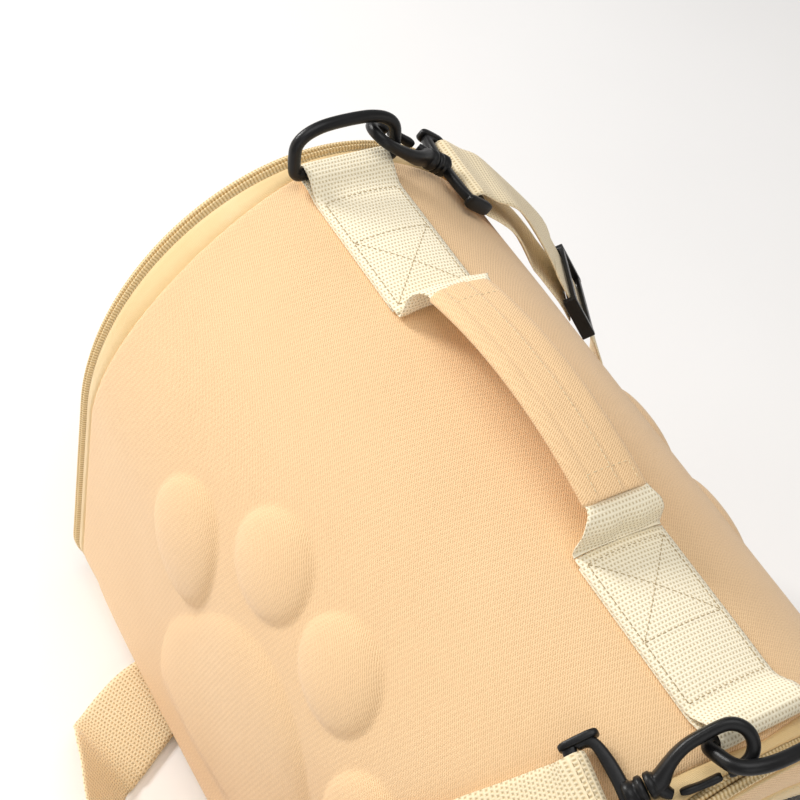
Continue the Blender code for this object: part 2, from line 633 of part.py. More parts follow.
def hook_pieces(word):
    """Strap frame, hook and gate in the frame of the strap bar."""
    place = HOOK_FRAME[word]
    outer = [(-0.0032, -0.0300), (-0.0032, 0.0300), (0.0060, 0.0310), (0.0130, 0.0290), (0.0158, 0.0180),
             (0.0170, 0.0080), (0.0170, -0.0080), (0.0158, -0.0180), (0.0130, -0.0290), (0.0060, -0.0310)]
    inner = [(0.0028, -0.0262), (0.0028, 0.0262), (0.0062, 0.0264), (0.0088, 0.0250), (0.0100, 0.0160),
             (0.0104, 0.0070), (0.0104, -0.0070), (0.0100, -0.0160), (0.0088, -0.0250), (0.0062, -0.0264)]
    half = 0.0027
    rings = [[(xo, yo, -half), (xo, yo, half), (xi, yi, half), (xi, yi, -half)]
             for (xo, yo), (xi, yi) in zip(outer, inner)]
    frame = loft("hook_frame_" + word, rings, M_BLACK, closed=True, matrix=place)
    collar_path = [(0.0135, 0.0, 0.0), (0.0150, 0.0, 0.0), (0.0215, 0.0, 0.0), (0.0225, 0.0, 0.0)]
    collar = loft("collar_" + word, tube_rings(collar_path, [0.0050, 0.0062, 0.0062, 0.0056], sides=14), M_BLACK,
                  matrix=place)
    join_to(frame, collar)

    turned = place @ Matrix.Rotation(math.radians(HOOK_TURN[word]), 4, "X")
    path = [(0.0229, 0.0), (0.0240, 0.0), (0.0262, 0.0), (0.0270, 0.0), (0.0300, 0.0010), (0.0345, 0.0042),
            (0.0400, 0.0070), (0.0465, 0.0088), (BOW_X - 0.006, BOW_R)]
    radii = [0.0052, 0.0060, 0.0060, 0.0046, 0.0044, 0.0034, 0.0031, 0.0030, 0.0029]
    for k in range(0, 9):
        ang = math.radians(90.0 - 180.0 * k / 8)
        path.append((BOW_X + BOW_R * math.cos(ang), BOW_R * math.sin(ang)))
        radii.append(0.0029 + 0.0003 * math.sin(math.pi * k / 8))
    path += [(BOW_X - 0.0045, -BOW_R), (BOW_X - 0.0062, -BOW_R)]
    radii += [0.0027, 0.0023]
    body = loft("hook_body_" + word, tube_rings([(x, y, 0.0) for x, y in path], radii, sides=10), M_BLACK,
                matrix=turned)
    heel = loft("heel_" + word, tube_rings([(0.0268, -0.0010, 0.0), (0.0290, -0.0050, 0.0), (0.0312, -0.0072, 0.0)],
                                          [0.0036, 0.0030, 0.0022], sides=8), M_BLACK, matrix=turned)
    join_to(body, heel)

    start = (0.0342, -0.0081)
    end = (BOW_X - 0.0087, -BOW_R)
    gate_pts = [(start[0] + (end[0] - start[0]) * f, start[1] + (end[1] - start[1]) * f, 0.0)
                for f in (0.0, 0.3, 0.6, 0.85, 1.0)]
    pivot = turned @ Vector((start[0], start[1], 0.0))
    local = turned.copy()
    local.translation = pivot
    moved = [(x - start[0], y - start[1], z) for x, y, z in gate_pts]
    loft("hook_gate_" + word, tube_rings(moved, [0.0016, 0.0018, 0.0018, 0.0019, 0.0019], flat=1.35, sides=8), M_BLACK,
         matrix=local)


for word in ("far", "near"):
    hook_pieces(word)


# ---------------------------------------------------------------- shoulder strap and its slide
def on_shell(x, degrees, proud, side):
    """Place over the crown at a turn from the ridge, standing proud of the shell."""
    ang = math.radians(degrees)
    return (x, side * (ARCH_A + proud) * math.sin(ang), CROWN_Z + (ARCH_B + proud) * math.cos(ang))


SLIDE_AT = Vector((-0.1410, 0.1550, TOP_Z - 0.1030))
SLIDE_DIR = Vector((0.42, 0.45, -0.79)).normalized()
SLIDE_UP = Vector((0.27, 0.737, 0.564))
SLIDE_FRAME = frame_matrix(SLIDE_AT, SLIDE_DIR, SLIDE_UP)
WRAP_R = 0.0052


def local(place, x, y, z):
    return tuple(place @ Vector((x, y, z)))


def local_y(place, sign=1.0):
    """Direction across the webbing at a fitting."""
    d = place.to_3x3() @ Vector((0.0, sign, 0.0))
    return tuple(d)


far = HOOK_FRAME["far"]
near = HOOK_FRAME["near"]
far_w = local_y(far)
near_w = local_y(near, -1.0)
slide_w = local_y(SLIDE_FRAME, -1.0)
route = []          # (centre, direction across)
for x, z in ((0.002, -0.0062), (-0.012, -0.0063), (-0.030, -0.0085), (-0.048, -0.0110)):
    route.append((local(SLIDE_FRAME, x, 0.0, z), slide_w))
route.append(((-0.1690, 0.1010, TOP_Z - 0.0430), far_w))
route.append((local(far, -0.0130, 0.0, -0.0049), far_w))
for k in range(0, 9):
    ang = math.radians(-90.0 + 180.0 * k / 8)
    route.append((local(far, WRAP_R * math.cos(ang), 0.0, WRAP_R * math.sin(ang)), far_w))
route.append((local(far, -0.0110, 0.0, 0.0050), far_w))
route.append(((-0.1705, 0.1050, TOP_Z - 0.0310), far_w))
route.append((local(SLIDE_FRAME, -0.0420, 0.0, 0.0006), slide_w))
for x in (-0.028, -0.014, 0.0, 0.014, 0.028):
    route.append((local(SLIDE_FRAME, x, 0.0, 0.0), slide_w))
route += [
    ((-0.1200, 0.1770, 0.1650), (0.86, -0.42, 0.20)),
    ((-0.1160, 0.1815, 0.1300), (0.90, -0.35, 0.10)),
    ((-0.1170, 0.1820, 0.0920), (0.94, -0.25, 0.05)),
    ((-0.1210, 0.1790, 0.0560), (0.97, -0.10, 0.02)),
    ((-0.1270, 0.1690, 0.0250), (0.98, 0.05, 0.0)),
    ((-0.1320, 0.1520, 0.0095), (0.98, 0.13, 0.0)),
    ((-0.1375, 0.1290, 0.0043), (0.978, 0.18, 0.0)),
    ((-0.1425, 0.1080, 0.0034), (0.98, 0.19, 0.0)),
    ((-0.1330, 0.0560, 0.0032), (0.98, 0.19, 0.0)),
    ((-0.1225, 0.0000, 0.0032), (0.98, 0.19, 0.0)),
    ((-0.1130, -0.0500, 0.0032), (0.97, 0.22, 0.0)),
    ((-0.1070, -0.0850, 0.0036), (0.95, 0.30, -0.03)),
    ((-0.1010, -0.1080, 0.0046), (0.90, 0.40, -0.05)),
    ((-0.0940, -0.1270, 0.0076), (0.87, 0.43, -0.16)),
    ((-0.0845, -0.1440, 0.0096), (0.85, 0.45, -0.23)),
    ((-0.0745, -0.1590, 0.0106), (0.84, 0.44, -0.27)),
    ((-0.0680, -0.1675, 0.0138), (0.80, 0.40, -0.38)),
    ((-0.0590, -0.1740, 0.0200), (0.70, 0.30, -0.60)),
    ((-0.0440, -0.1805, 0.0245), (0.62, 0.24, -0.74)),
    ((-0.0200, -0.1895, 0.0285), (0.54, 0.22, -0.80)),
    ((0.0100, -0.1985, 0.0345), (0.42, 0.18, -0.88)),
    ((0.0400, -0.2045, 0.0420), (0.40, 0.16, -0.89)),
    ((0.0720, -0.2010, 0.0640), (0.60, 0.14, -0.78)),
    ((0.0980, -0.1890, 0.0950), (0.80, 0.06, -0.59)),
    ((0.1170, -0.1750, 0.1320), (0.90, -0.05, -0.42)),
    ((0.1320, -0.1590, 0.1700), (0.94, -0.12, -0.32)),
    (on_shell(0.1450, 74.0, 0.0135, -1), (0.94, -0.18, -0.30)),
    (on_shell(0.1530, 65.0, 0.0105, -1), (0.94, -0.20, -0.28)),
    (on_shell(0.1610, 56.0, 0.0078, -1), (0.94, -0.22, -0.26)),
    (on_shell(0.1690, 48.0, 0.0072, -1), (0.94, -0.25, -0.24)),
    (local(near, -0.0135, 0.0, 0.0048), near_w),
]
for k in range(0, 9):
    ang = math.radians(90.0 - 180.0 * k / 8)
    route.append((local(near, WRAP_R * math.cos(ang), 0.0, WRAP_R * math.sin(ang)), near_w))
route += [
    (local(near, -0.0130, 0.0, -0.0046), near_w),
    (on_shell(0.1690, 48.5, 0.0036, -1), (0.94, -0.25, -0.24)),
    (on_shell(0.1620, 55.0, 0.0036, -1), (0.94, -0.22, -0.26)),
]
centres = smooth_path([c for c, w in route], 3)
across = smooth_path([w for c, w in route], 3)
ribbon("shoulder_strap", centres, across, STRAP_T, WEB_W, M_STRAP)


def slide_piece(name, low, high):
    """Box of the strap slide in its own frame."""
    obj = box(name, low, high, M_BLACK, 0.0006)
    obj.data.transform(Matrix.Translation(obj.location))
    obj.matrix_world = SLIDE_FRAME
    return obj


slide = slide_piece("strap_slide", (-0.0150, -0.0305, -0.0040), (0.0150, -0.0262, 0.0042))
for label, low, high in (
        ("slide_side", (-0.0150, 0.0262, -0.0040), (0.0150, 0.0305, 0.0042)),
        ("slide_middle_bar", (-0.0030, -0.0275, -0.0038), (0.0030, 0.0275, -0.0014)),
        ("slide_upper_bar", (-0.0148, -0.0275, 0.0014), (-0.0100, 0.0275, 0.0040)),
        ("slide_lower_bar", (0.0100, -0.0275, 0.0014), (0.0148, 0.0275, 0.0040))):
    join_to(slide, slide_piece(label, low, high))
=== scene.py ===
"""Looks of the pet carrier bag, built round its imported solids. Metres, Z up, X along the tunnel."""

import math

import bmesh
import bpy
import numpy as np
from mathutils import Matrix, Vector, noise


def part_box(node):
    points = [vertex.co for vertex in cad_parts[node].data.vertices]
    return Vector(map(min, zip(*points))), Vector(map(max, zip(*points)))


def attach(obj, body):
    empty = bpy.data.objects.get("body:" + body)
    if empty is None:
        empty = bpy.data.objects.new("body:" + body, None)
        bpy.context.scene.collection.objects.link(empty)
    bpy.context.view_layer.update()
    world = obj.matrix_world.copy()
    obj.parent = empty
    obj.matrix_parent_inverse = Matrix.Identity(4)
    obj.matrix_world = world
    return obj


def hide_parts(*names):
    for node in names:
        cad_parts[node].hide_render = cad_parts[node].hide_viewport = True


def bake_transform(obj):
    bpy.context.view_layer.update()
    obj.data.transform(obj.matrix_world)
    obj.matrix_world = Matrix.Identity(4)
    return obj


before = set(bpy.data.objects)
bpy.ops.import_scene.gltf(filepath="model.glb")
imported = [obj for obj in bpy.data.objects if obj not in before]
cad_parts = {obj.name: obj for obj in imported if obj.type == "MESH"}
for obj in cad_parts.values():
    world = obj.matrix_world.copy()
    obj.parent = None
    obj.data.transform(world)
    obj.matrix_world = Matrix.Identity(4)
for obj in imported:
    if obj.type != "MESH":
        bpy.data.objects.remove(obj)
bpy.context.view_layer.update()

# ------------------------------------------------------------ dimensions shared with the solids
SHELL_HALF, ARCH_A, ARCH_B, CROWN_Z = 0.192, 0.130, 0.152, 0.166
TOP_Z, BASE_Z, CORNER_R, SHELL_T, SCALLOP = 0.318, 0.006, 0.035, 0.0042, 0.0105
RIM_HALF, RIM_Z, CHAIN_W, HINGE_Z, ZIP_PITCH = 0.206, 0.012, 0.0040, 0.0130, 0.0019
WEB_W, WEB_T, STRAP_T, RING_R, RING_HALF = 0.050, 0.0016, 0.0018, 0.0034, 0.030
RING_X = {-1: 0.182, 1: 0.185}
RING_Z, RING_RISE, LIFT_X, GRIP_X = TOP_Z + 0.0055, 0.0265, 0.0805, 0.068
SLEEVE_HALF, GRIP_END_Z, GRIP_MID_Z = 0.0180, TOP_Z + 0.0200, TOP_Z + 0.0295
PAW_X, TOE_H, PAD_H = 0.0155, 0.0062, 0.0072
SIDES = ((-1, "far"), (1, "near"))
GIRTH = 0.02        # width of pattern laid round any moulded bar


# ------------------------------------------------------------ camera, light and floor
def aim(obj, right, up, back, place):
    """Turn and place an object by its own axes."""
    m = Matrix((Vector(right), Vector(up), Vector(back))).transposed().to_4x4()
    m.translation = Vector(place)
    obj.matrix_world = m


cam_data = bpy.data.cameras.new("camera")
cam = bpy.data.objects.new("camera", cam_data)
bpy.context.scene.collection.objects.link(cam)
aim(cam, (0.5289029, 0.81713903, 0.22922812), (-0.71026223, 0.2783469, 0.6465683),
    (0.46453125, -0.50478393, 0.72760147), (0.371625, -0.40382714, 0.90008118))
cam_data.lens = 75.354
cam_data.sensor_width = 36.0
cam_data.shift_x = -0.15663
cam_data.shift_y = 0.02153
cam_data.clip_start = 0.01
bpy.context.scene.camera = cam
bpy.context.scene.view_settings.view_transform = "Standard"
bpy.context.scene.view_settings.look = "None"

world = bpy.data.worlds.new("studio")
bpy.context.scene.world = world
world.use_nodes = True
world.node_tree.nodes["Background"].inputs["Color"].default_value = (1.0, 0.985, 0.975, 1.0)
world.node_tree.nodes["Background"].inputs["Strength"].default_value = 0.42


def lamp(name, place, target, size, energy, colour=(1.0, 1.0, 1.0)):
    """Soft area lamp that faces a target."""
    data = bpy.data.lights.new(name, "AREA")
    data.shape = "DISK"
    data.size = size
    data.energy = energy
    data.color = colour
    obj = bpy.data.objects.new(name, data)
    bpy.context.scene.collection.objects.link(obj)
    obj.location = place
    obj.rotation_euler = (Vector(target) - Vector(place)).to_track_quat("-Z", "Y").to_euler()


lamp("key", (-1.45, -0.70, 1.15), (0.0, 0.0, 0.2), 0.55, 23.4, (1.0, 0.985, 0.965))
lamp("top", (0.10, -0.20, 1.90), (0.0, 0.0, 0.2), 1.3, 10.0)
lamp("side", (1.45, -0.60, 0.9), (0.0, 0.0, 0.2), 1.1, 3.2)
lamp("low_fill", (-0.75, -1.25, 0.42), (-0.05, 0.0, 0.10), 0.9, 2.7, (1.0, 0.86, 0.70))
lamp("back_fill", (0.90, 1.10, 0.75), (0.1, 0.1, 0.2), 0.9, 1.8, (1.0, 0.93, 0.84))


# ------------------------------------------------------------ materials
class Paint:
    """Short way to wire a procedural material."""

    def __init__(self, name, rough, sheen=0.0, metallic=0.0, specular=0.5):
        self.mat = bpy.data.materials.new(name)
        self.mat.use_nodes = True
        self.tree = self.mat.node_tree
        self.shader = self.tree.nodes["Principled BSDF"]
        for socket, value in (("Roughness", rough), ("Metallic", metallic), ("Sheen Weight", sheen),
                              ("Sheen Roughness", 0.5), ("Specular IOR Level", specular)):
            self.shader.inputs[socket].default_value = value
        self.coords = self.tree.nodes.new("ShaderNodeTexCoord")

    def node(self, kind, **sockets):
        n = self.tree.nodes.new(kind)
        for key, value in sockets.items():
            self.plug(value, n.inputs[key])
        return n

    def plug(self, value, socket):
        if isinstance(value, bpy.types.NodeSocket):
            self.tree.links.new(value, socket)
        else:
            socket.default_value = value

    def math(self, op, a, b=0.0, c=0.0):
        n = self.tree.nodes.new("ShaderNodeMath")
        n.operation = op
        self.plug(a, n.inputs[0])
        self.plug(b, n.inputs[1])
        self.plug(c, n.inputs[2])
        return n.outputs[0]

    def add(self, a, b):
        return self.math("ADD", a, b)

    def mul(self, a, b):
        return self.math("MULTIPLY", a, b)

    def mul_add(self, a, b, c):
        return self.math("MULTIPLY_ADD", a, b, c)

    def parts(self, space):
        """Places in metres: across and along on cloth, or x, y, z on a solid."""
        n = self.node("ShaderNodeSeparateXYZ", Vector=self.coords.outputs[space])
        return n.outputs[0], n.outputs[1], n.outputs[2]

    def sine(self, a, pitch, shift=0.0):
        """Wave of a pitch in metres, 0 to 1."""
        s = self.math("SINE", self.mul_add(a, 2 * math.pi / pitch, shift))
        return self.mul_add(s, 0.5, 0.5)

    def noise(self, scale, detail=2.0, space="Object", stretch=None):
        """Cloudy noise, 0 to 1, of a scale in cycles to the metre."""
        vec = self.coords.outputs[space]
        if stretch:
            vec = self.node("ShaderNodeMapping", Vector=vec, Scale=stretch).outputs[0]
        n = self.node("ShaderNodeTexNoise", Vector=vec, Scale=scale, Detail=detail)
        return n.outputs["Fac"]

    def ramp(self, fac, stops):
        """Colour read off stops of (position, colour)."""
        n = self.node("ShaderNodeValToRGB", Fac=fac)
        while len(n.color_ramp.elements) < len(stops):
            n.color_ramp.elements.new(0.5)
        for e, (at, colour) in zip(n.color_ramp.elements, stops):
            e.position = at
            e.color = (*colour, 1.0)
        return n.outputs[0]

    def mix(self, fac, a, b, blend="MIX"):
        n = self.tree.nodes.new("ShaderNodeMix")
        n.data_type = "RGBA"
        n.blend_type = blend
        self.plug(fac, n.inputs["Factor"])
        for value, socket in ((a, n.inputs[6]), (b, n.inputs[7])):
            self.plug(value if isinstance(value, bpy.types.NodeSocket) else (*value, 1.0), socket)
        return n.outputs[2]

    def colour(self, socket):
        self.plug(socket, self.shader.inputs["Base Color"])

    def rough(self, socket):
        self.plug(socket, self.shader.inputs["Roughness"])

    def cloth(self, height, tones, space, fibre, cloud, stops, rough, depth):
        """Finish a weave from its height: loose fibre, uneven dye, painted shade in the hollows and a painted
        highlight on the raised yarns, and relief.
        """
        height = self.add(height, self.mul(self.noise(fibre[0], 2.0, space), fibre[1]))
        tone = self.mix(self.mul(self.noise(cloud[0], 3.0), cloud[1]), *tones)
        # the ramp of stops darkens the colour in the low places of the weave as painted shade and lightens
        # the high places as painted highlight
        self.colour(self.mix(1.0, tone, self.ramp(height, stops), "MULTIPLY"))
        self.rough(self.mul_add(height, *rough))
        self.bump(height, depth)
        return self.mat

    def bump(self, height, depth, strength=1.0):
        """Relief of a depth in metres."""
        n = self.node("ShaderNodeBump", Height=height, Strength=strength, Distance=depth)
        self.plug(n.outputs[0], self.shader.inputs["Normal"])


def twill(name, light, dark, pitch=0.00105, depth=0.00019, space="UV", rough=0.86, sheen=0.25):
    """Diagonal twill laid in metres over the cloth, with a little unevenness in dye and yarn."""
    p = Paint(name, rough, sheen=sheen, specular=0.25)
    a, b, _ = p.parts(space)
    wander = p.mul(p.noise(700.0, 1.0, space), pitch * 0.55)
    diag = p.sine(p.add(p.mul_add(a, 0.62, p.mul(b, 0.78)), wander), pitch)
    warp = p.sine(a, pitch * 0.92)
    weft = p.sine(p.add(b, p.mul(a, 0.25)), pitch * 1.1)
    cross = p.mul(warp, weft)
    height = p.add(p.mul(diag, 0.65), p.mul(cross, 0.50))
    # painted shade: the low places of the twill turn darker, and the yarn tops a little lighter as painted
    # highlight
    stops = [(0.12, (0.76, 0.68, 0.58)), (0.62, (1.0, 1.0, 1.0)), (1.0, (1.05, 1.04, 1.03))]
    return p.cloth(height, (light, dark), space, (2600.0, 0.25), (16.0, 0.55), stops, (-0.08, rough + 0.04),
                   depth)


def webbing(name, light, dark, row=0.0022, column=0.0019, depth=0.00034):
    """Heavy webbing: rows across it, broken by the lengthwise yarns, each second row set half over."""
    p = Paint(name, 0.82, sheen=0.2, specular=0.25)
    a, b, _ = p.parts("UV")
    wob = p.mul(p.noise(500.0, 1.0, "UV"), 0.0005)
    rows = p.sine(p.add(b, wob), row)
    odd = p.sine(b, row * 2.0)
    col_a = p.sine(p.add(a, wob), column)
    col_b = p.sine(a, column, math.pi)
    cols = p.add(p.mul(col_a, odd), p.mul(col_b, p.math("SUBTRACT", 1.0, odd)))
    height = p.math("MAXIMUM", p.mul(rows, 0.92), cols)
    # painted shade: the hollows between rows and yarns turn darker, and the raised yarns a little lighter as
    # painted highlight
    stops = [(0.20, (0.62, 0.54, 0.41)), (0.55, (0.91, 0.87, 0.79)), (0.95, (1.02, 1.01, 0.98))]
    return p.cloth(height, (light, dark), "UV", (3000.0, 0.2), (30.0, 0.6), stops, (-0.10, 0.88), depth)


def satin(name, light, dark, space="UV"):
    """Close satin-weave nylon, with fine lengthwise yarns and soft puckers."""
    p = Paint(name, 0.50, sheen=0.3, specular=0.45)
    a, _, _ = p.parts(space)
    yarn = p.sine(p.add(a, p.mul(p.noise(600.0, 1.0, space), 0.0004)), 0.0007)
    pucker = p.noise(90.0, 2.0)
    height = p.add(p.mul(yarn, 0.25), pucker)
    tone = p.mix(p.noise(22.0, 3.0), light, dark)
    p.colour(p.mix(p.mul(yarn, 0.25), tone, dark))
    p.rough(p.mul_add(pucker, 0.22, 0.38))
    p.bump(height, 0.0006, 0.6)
    return p.mat


def coil(name):
    """Nylon zip coil and its woven tape."""
    p = Paint(name, 0.45, specular=0.5)
    a, b, _ = p.parts("UV")
    teeth = p.sine(b, ZIP_PITCH)
    fine = p.sine(a, 0.0006)
    # painted shade between the coil teeth and a painted highlight on their tops: the colour follows the same
    # wave as the relief
    tone = p.ramp(teeth, [(0.0, (0.50, 0.33, 0.13)), (0.5, (0.80, 0.60, 0.31)), (1.0, (0.93, 0.75, 0.45))])
    p.colour(p.mix(p.mul(p.noise(60.0, 3.0), 0.35), tone, (0.72, 0.52, 0.24)))
    p.rough(p.mul_add(p.noise(400.0), 0.2, 0.36))
    p.bump(p.add(teeth, p.mul(fine, 0.3)), 0.0002)
    return p.mat


def plastic(name):
    """Moulded acetal with a fine spark texture and light rubbing."""
    p = Paint(name, 0.34, specular=0.32)
    spark = p.noise(1800.0, 3.0)
    wear = p.noise(70.0, 4.0)
    flow = p.noise(240.0, 2.0, stretch=(1.0, 1.0, 0.25))
    p.colour(p.ramp(wear, [(0.30, (0.0030, 0.0030, 0.0034)), (0.62, (0.0060, 0.0060, 0.0065)),
                           (0.82, (0.013, 0.013, 0.014))]))
    p.rough(p.mul_add(wear, 0.22, 0.25))
    p.bump(p.add(spark, p.mul(flow, 0.6)), 0.00012, 0.55)
    return p.mat


def knit(name):
    """Open hexagonal knit: yarns stay, holes let light through."""
    p = Paint(name, 0.72, sheen=0.1, specular=0.3)
    a, b, _ = p.parts("UV")
    cell = 0.0030
    u, v = p.mul(a, 2 * math.pi / cell), p.mul(b, 2 * math.pi / cell)
    w1 = p.math("SINE", u)
    w2 = p.math("SINE", p.add(p.mul(u, 0.5), p.mul(v, 0.866)))
    w3 = p.math("SINE", p.math("SUBTRACT", p.mul(u, 0.5), p.mul(v, 0.866)))
    dots = p.add(p.add(w1, w2), p.mul(w3, -1.0))
    solid = p.math("LESS_THAN", dots, 0.95)
    p.colour(p.ramp(p.noise(900.0, 2.0, "UV"), [(0.2, (0.05, 0.043, 0.036)), (0.8, (0.13, 0.115, 0.095))]))
    p.plug(solid, p.shader.inputs["Alpha"])
    p.bump(p.mul(dots, -1.0), 0.0003)
    return p.mat


def brass(name):
    """Rubbed brass."""
    p = Paint(name, 0.32, metallic=1.0)
    wear = p.noise(260.0, 4.0)
    p.colour(p.ramp(wear, [(0.3, (0.50, 0.34, 0.13)), (0.7, (0.74, 0.56, 0.28))]))
    p.rough(p.mul_add(wear, 0.30, 0.20))
    p.bump(p.noise(1500.0, 3.0, stretch=(0.3, 1.0, 1.0)), 0.00005, 0.6)
    return p.mat


def plush(name):
    """Short plush in soft clumps, with painted shade in the low places between them."""
    p = Paint(name, 0.95, sheen=0.7, specular=0.1)
    clump = p.noise(420.0, 4.0)
    nap = p.noise(38.0, 3.0)
    # painted shade: the clumps are darker where they sink and lighter where they stand up, after the same
    # noises as the relief
    shaded_tufts = p.ramp(clump, [(0.3, (0.50, 0.44, 0.34)), (0.7, (0.88, 0.82, 0.70))])
    p.colour(p.mix(nap, shaded_tufts, (0.83, 0.76, 0.64)))
    p.bump(p.add(clump, p.mul(nap, 0.7)), 0.0014, 0.9)
    return p.mat


def board(name):
    """Grey fibre board."""
    p = Paint(name, 0.6, specular=0.4)
    grain = p.noise(900.0, 3.0)
    p.colour(p.ramp(p.noise(55.0, 3.0), [(0.3, (0.22, 0.21, 0.20)), (0.7, (0.33, 0.32, 0.30))]))
    p.bump(grain, 0.0002, 0.7)
    return p.mat


def thread(name, light, dark):
    """Twisted sewing thread."""
    p = Paint(name, 0.6, sheen=0.3)
    x, y, z = p.parts("Object")
    twist = p.sine(p.add(p.add(x, y), z), 0.0005)
    p.colour(p.mix(p.mul_add(twist, 0.5, p.mul(p.noise(120.0), 0.4)), light, dark))
    p.bump(twist, 0.00008)
    return p.mat


PEACH, PEACH_DARK = (0.905, 0.640, 0.370), (0.840, 0.560, 0.300)
SATIN = (0.90, 0.68, 0.36), (0.76, 0.52, 0.22)
M = {
    "shell_fabric": twill("shell_fabric", PEACH, PEACH_DARK),
    "base_fabric": twill("base_fabric", (0.72, 0.50, 0.30), (0.62, 0.42, 0.24), space="Object"),
    "lining_fabric": twill("lining_fabric", (0.58, 0.52, 0.44), (0.47, 0.42, 0.36), 0.0009, 0.0001, "Object",
                           0.9, 0.1),
    "webbing": webbing("webbing", (0.985, 0.915, 0.735), (0.950, 0.855, 0.650)),
    # painted shade: the strap gets darker tan tones than the ridge webbing, standing in for the shade on its
    # faces; its rows are also coarser
    "strap_webbing": webbing("strap_webbing", (0.930, 0.810, 0.580), (0.850, 0.690, 0.440), 0.0026, 0.0021,
                             0.00042),
    "gusset_satin": satin("gusset_satin", *SATIN),
    "hinge_satin": satin("hinge_satin", *SATIN, "Object"),
    "zip_tape": coil("zip_coil"),
    "black_plastic": plastic("black_plastic"),
    "mesh": knit("door_mesh"),
    "zip_metal": brass("zip_metal"),
    "mat_plush": plush("mat_plush"),
    "board": board("board"),
    "thread": thread("thread", (0.60, 0.47, 0.27), (0.40, 0.29, 0.14)),
    "thread_light": thread("thread_light", (0.93, 0.80, 0.52), (0.74, 0.55, 0.30)),
}


# ------------------------------------------------------------ mesh makers
def mesh_piece(name, verts, faces, uvs, body, slot, fix=True, mat=None):
    """Smooth-shaded piece from plain lists; uvs is one pair for each face corner."""
    mesh = bpy.data.meshes.new(name)
    mesh.from_pydata([tuple(map(float, v)) for v in verts], [], faces)
    if uvs is not None:
        layer = mesh.uv_layers.new(name="UVMap")
        layer.data.foreach_set("uv", np.asarray(uvs, np.float32).ravel())
    if fix:
        bm = bmesh.new()
        bm.from_mesh(mesh)
        bmesh.ops.recalc_face_normals(bm, faces=bm.faces)
        bm.to_mesh(mesh)
        bm.free()
    mesh.polygons.foreach_set("use_smooth", [True] * len(mesh.polygons))
    mesh.materials.append(M[mat or slot])
    obj = bpy.data.objects.new(name, mesh)
    bpy.context.scene.collection.objects.link(obj)
    if body:
        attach(obj, body)
    return obj


def grid(name, rows, uv, body, slot, round_rows=False, round_cols=False, caps=False):
    """Piece through rows of points; uv has one more row or column where the grid closes on itself."""
    P = np.asarray(rows, float)
    R, C = P.shape[:2]
    uv = np.asarray(uv, float)
    faces, loops = [], []
    for i in range(R if round_rows else R - 1):
        i2 = (i + 1) % R
        for j in range(C if round_cols else C - 1):
            j2 = (j + 1) % C
            faces.append((i * C + j, i * C + j2, i2 * C + j2, i2 * C + j))
            loops += [uv[i][j], uv[i][j + 1], uv[i + 1][j + 1], uv[i + 1][j]]
    if caps:
        for i, rev in ((0, True), (R - 1, False)):
            ids = [i * C + j for j in range(C)]
            ids = ids[::-1] if rev else ids
            faces.append(tuple(ids))
            loops += [uv[i][k % C] for k in (range(C - 1, -1, -1) if rev else range(C))]
    return mesh_piece(name, P.reshape(-1, 3), faces, loops, body, slot)


def spline(points, steps, closed=False):
    """Catmull-Rom curve through points of any width."""
    pts = [np.array(p, float) for p in points]
    if closed:
        ext = [pts[-1]] + pts + [pts[0], pts[1]]
    else:
        ext = [2 * pts[0] - pts[1]] + pts + [2 * pts[-1] - pts[-2]]
    out = []
    for i in range(1, len(ext) - 2):
        p0, p1, p2, p3 = ext[i - 1:i + 3]
        for k in range(steps):
            t = k / steps
            out.append(0.5 * (2 * p1 + (p2 - p0) * t + (2 * p0 - 5 * p1 + 4 * p2 - p3) * t ** 2
                              + (3 * p1 - p0 - 3 * p2 + p3) * t ** 3))
    if not closed:
        out.append(ext[-2])
    return out


def lengths(points):
    """Running length along points."""
    out = [0.0]
    for a, b in zip(points, points[1:]):
        out.append(out[-1] + float(np.linalg.norm(np.array(b) - np.array(a))))
    return out


def section(centre, e1, e2, count=18, power=2.0):
    """Closed round, or for a higher power rounded square, section."""
    out = []
    for k in range(count):
        t = 2 * math.pi * k / count
        c, s = math.cos(t), math.sin(t)
        out.append(np.array(centre) + np.array(e1) * math.copysign(abs(c) ** (2 / power), c)
                   + np.array(e2) * math.copysign(abs(s) ** (2 / power), s))
    return out


def ringed(name, rows, body, slot, closed=False, place=None, run=None):
    """Piece through closed rings of points; run gives the place of each ring along it, or it is measured."""
    if place is not None:
        rows = [[np.array(place @ Vector(p)) for p in r] for r in rows]
    if run is None:
        run = lengths([r[0] for r in rows] + [rows[0][0]])
    count = len(rows[0])
    uv = [[(GIRTH * j / count, s) for j in range(count + 1)] for s in run]
    return grid(name, rows, uv, body, slot, round_rows=closed, round_cols=True, caps=not closed)


def tube(name, path, size, normal, body, slot, closed=False, count=18, power=2.0, place=None):
    """Bar along a path; size gives (half width in the plane, half width along the normal) at each place."""
    n = len(path)
    rows = []
    nrm = np.array(normal, float)
    nrm /= np.linalg.norm(nrm)
    for i in range(n):
        a = path[(i - 1) % n] if closed else path[max(i - 1, 0)]
        b = path[(i + 1) % n] if closed else path[min(i + 1, n - 1)]
        t = np.array(b, float) - np.array(a, float)
        t /= np.linalg.norm(t)
        side = np.cross(nrm, t)
        side /= np.linalg.norm(side)
        up = np.cross(t, side)
        w, h = size[i] if isinstance(size, list) else size
        rows.append(section(path[i], side * w, up * h, count, power))
    return ringed(name, rows, body, slot, closed, place)


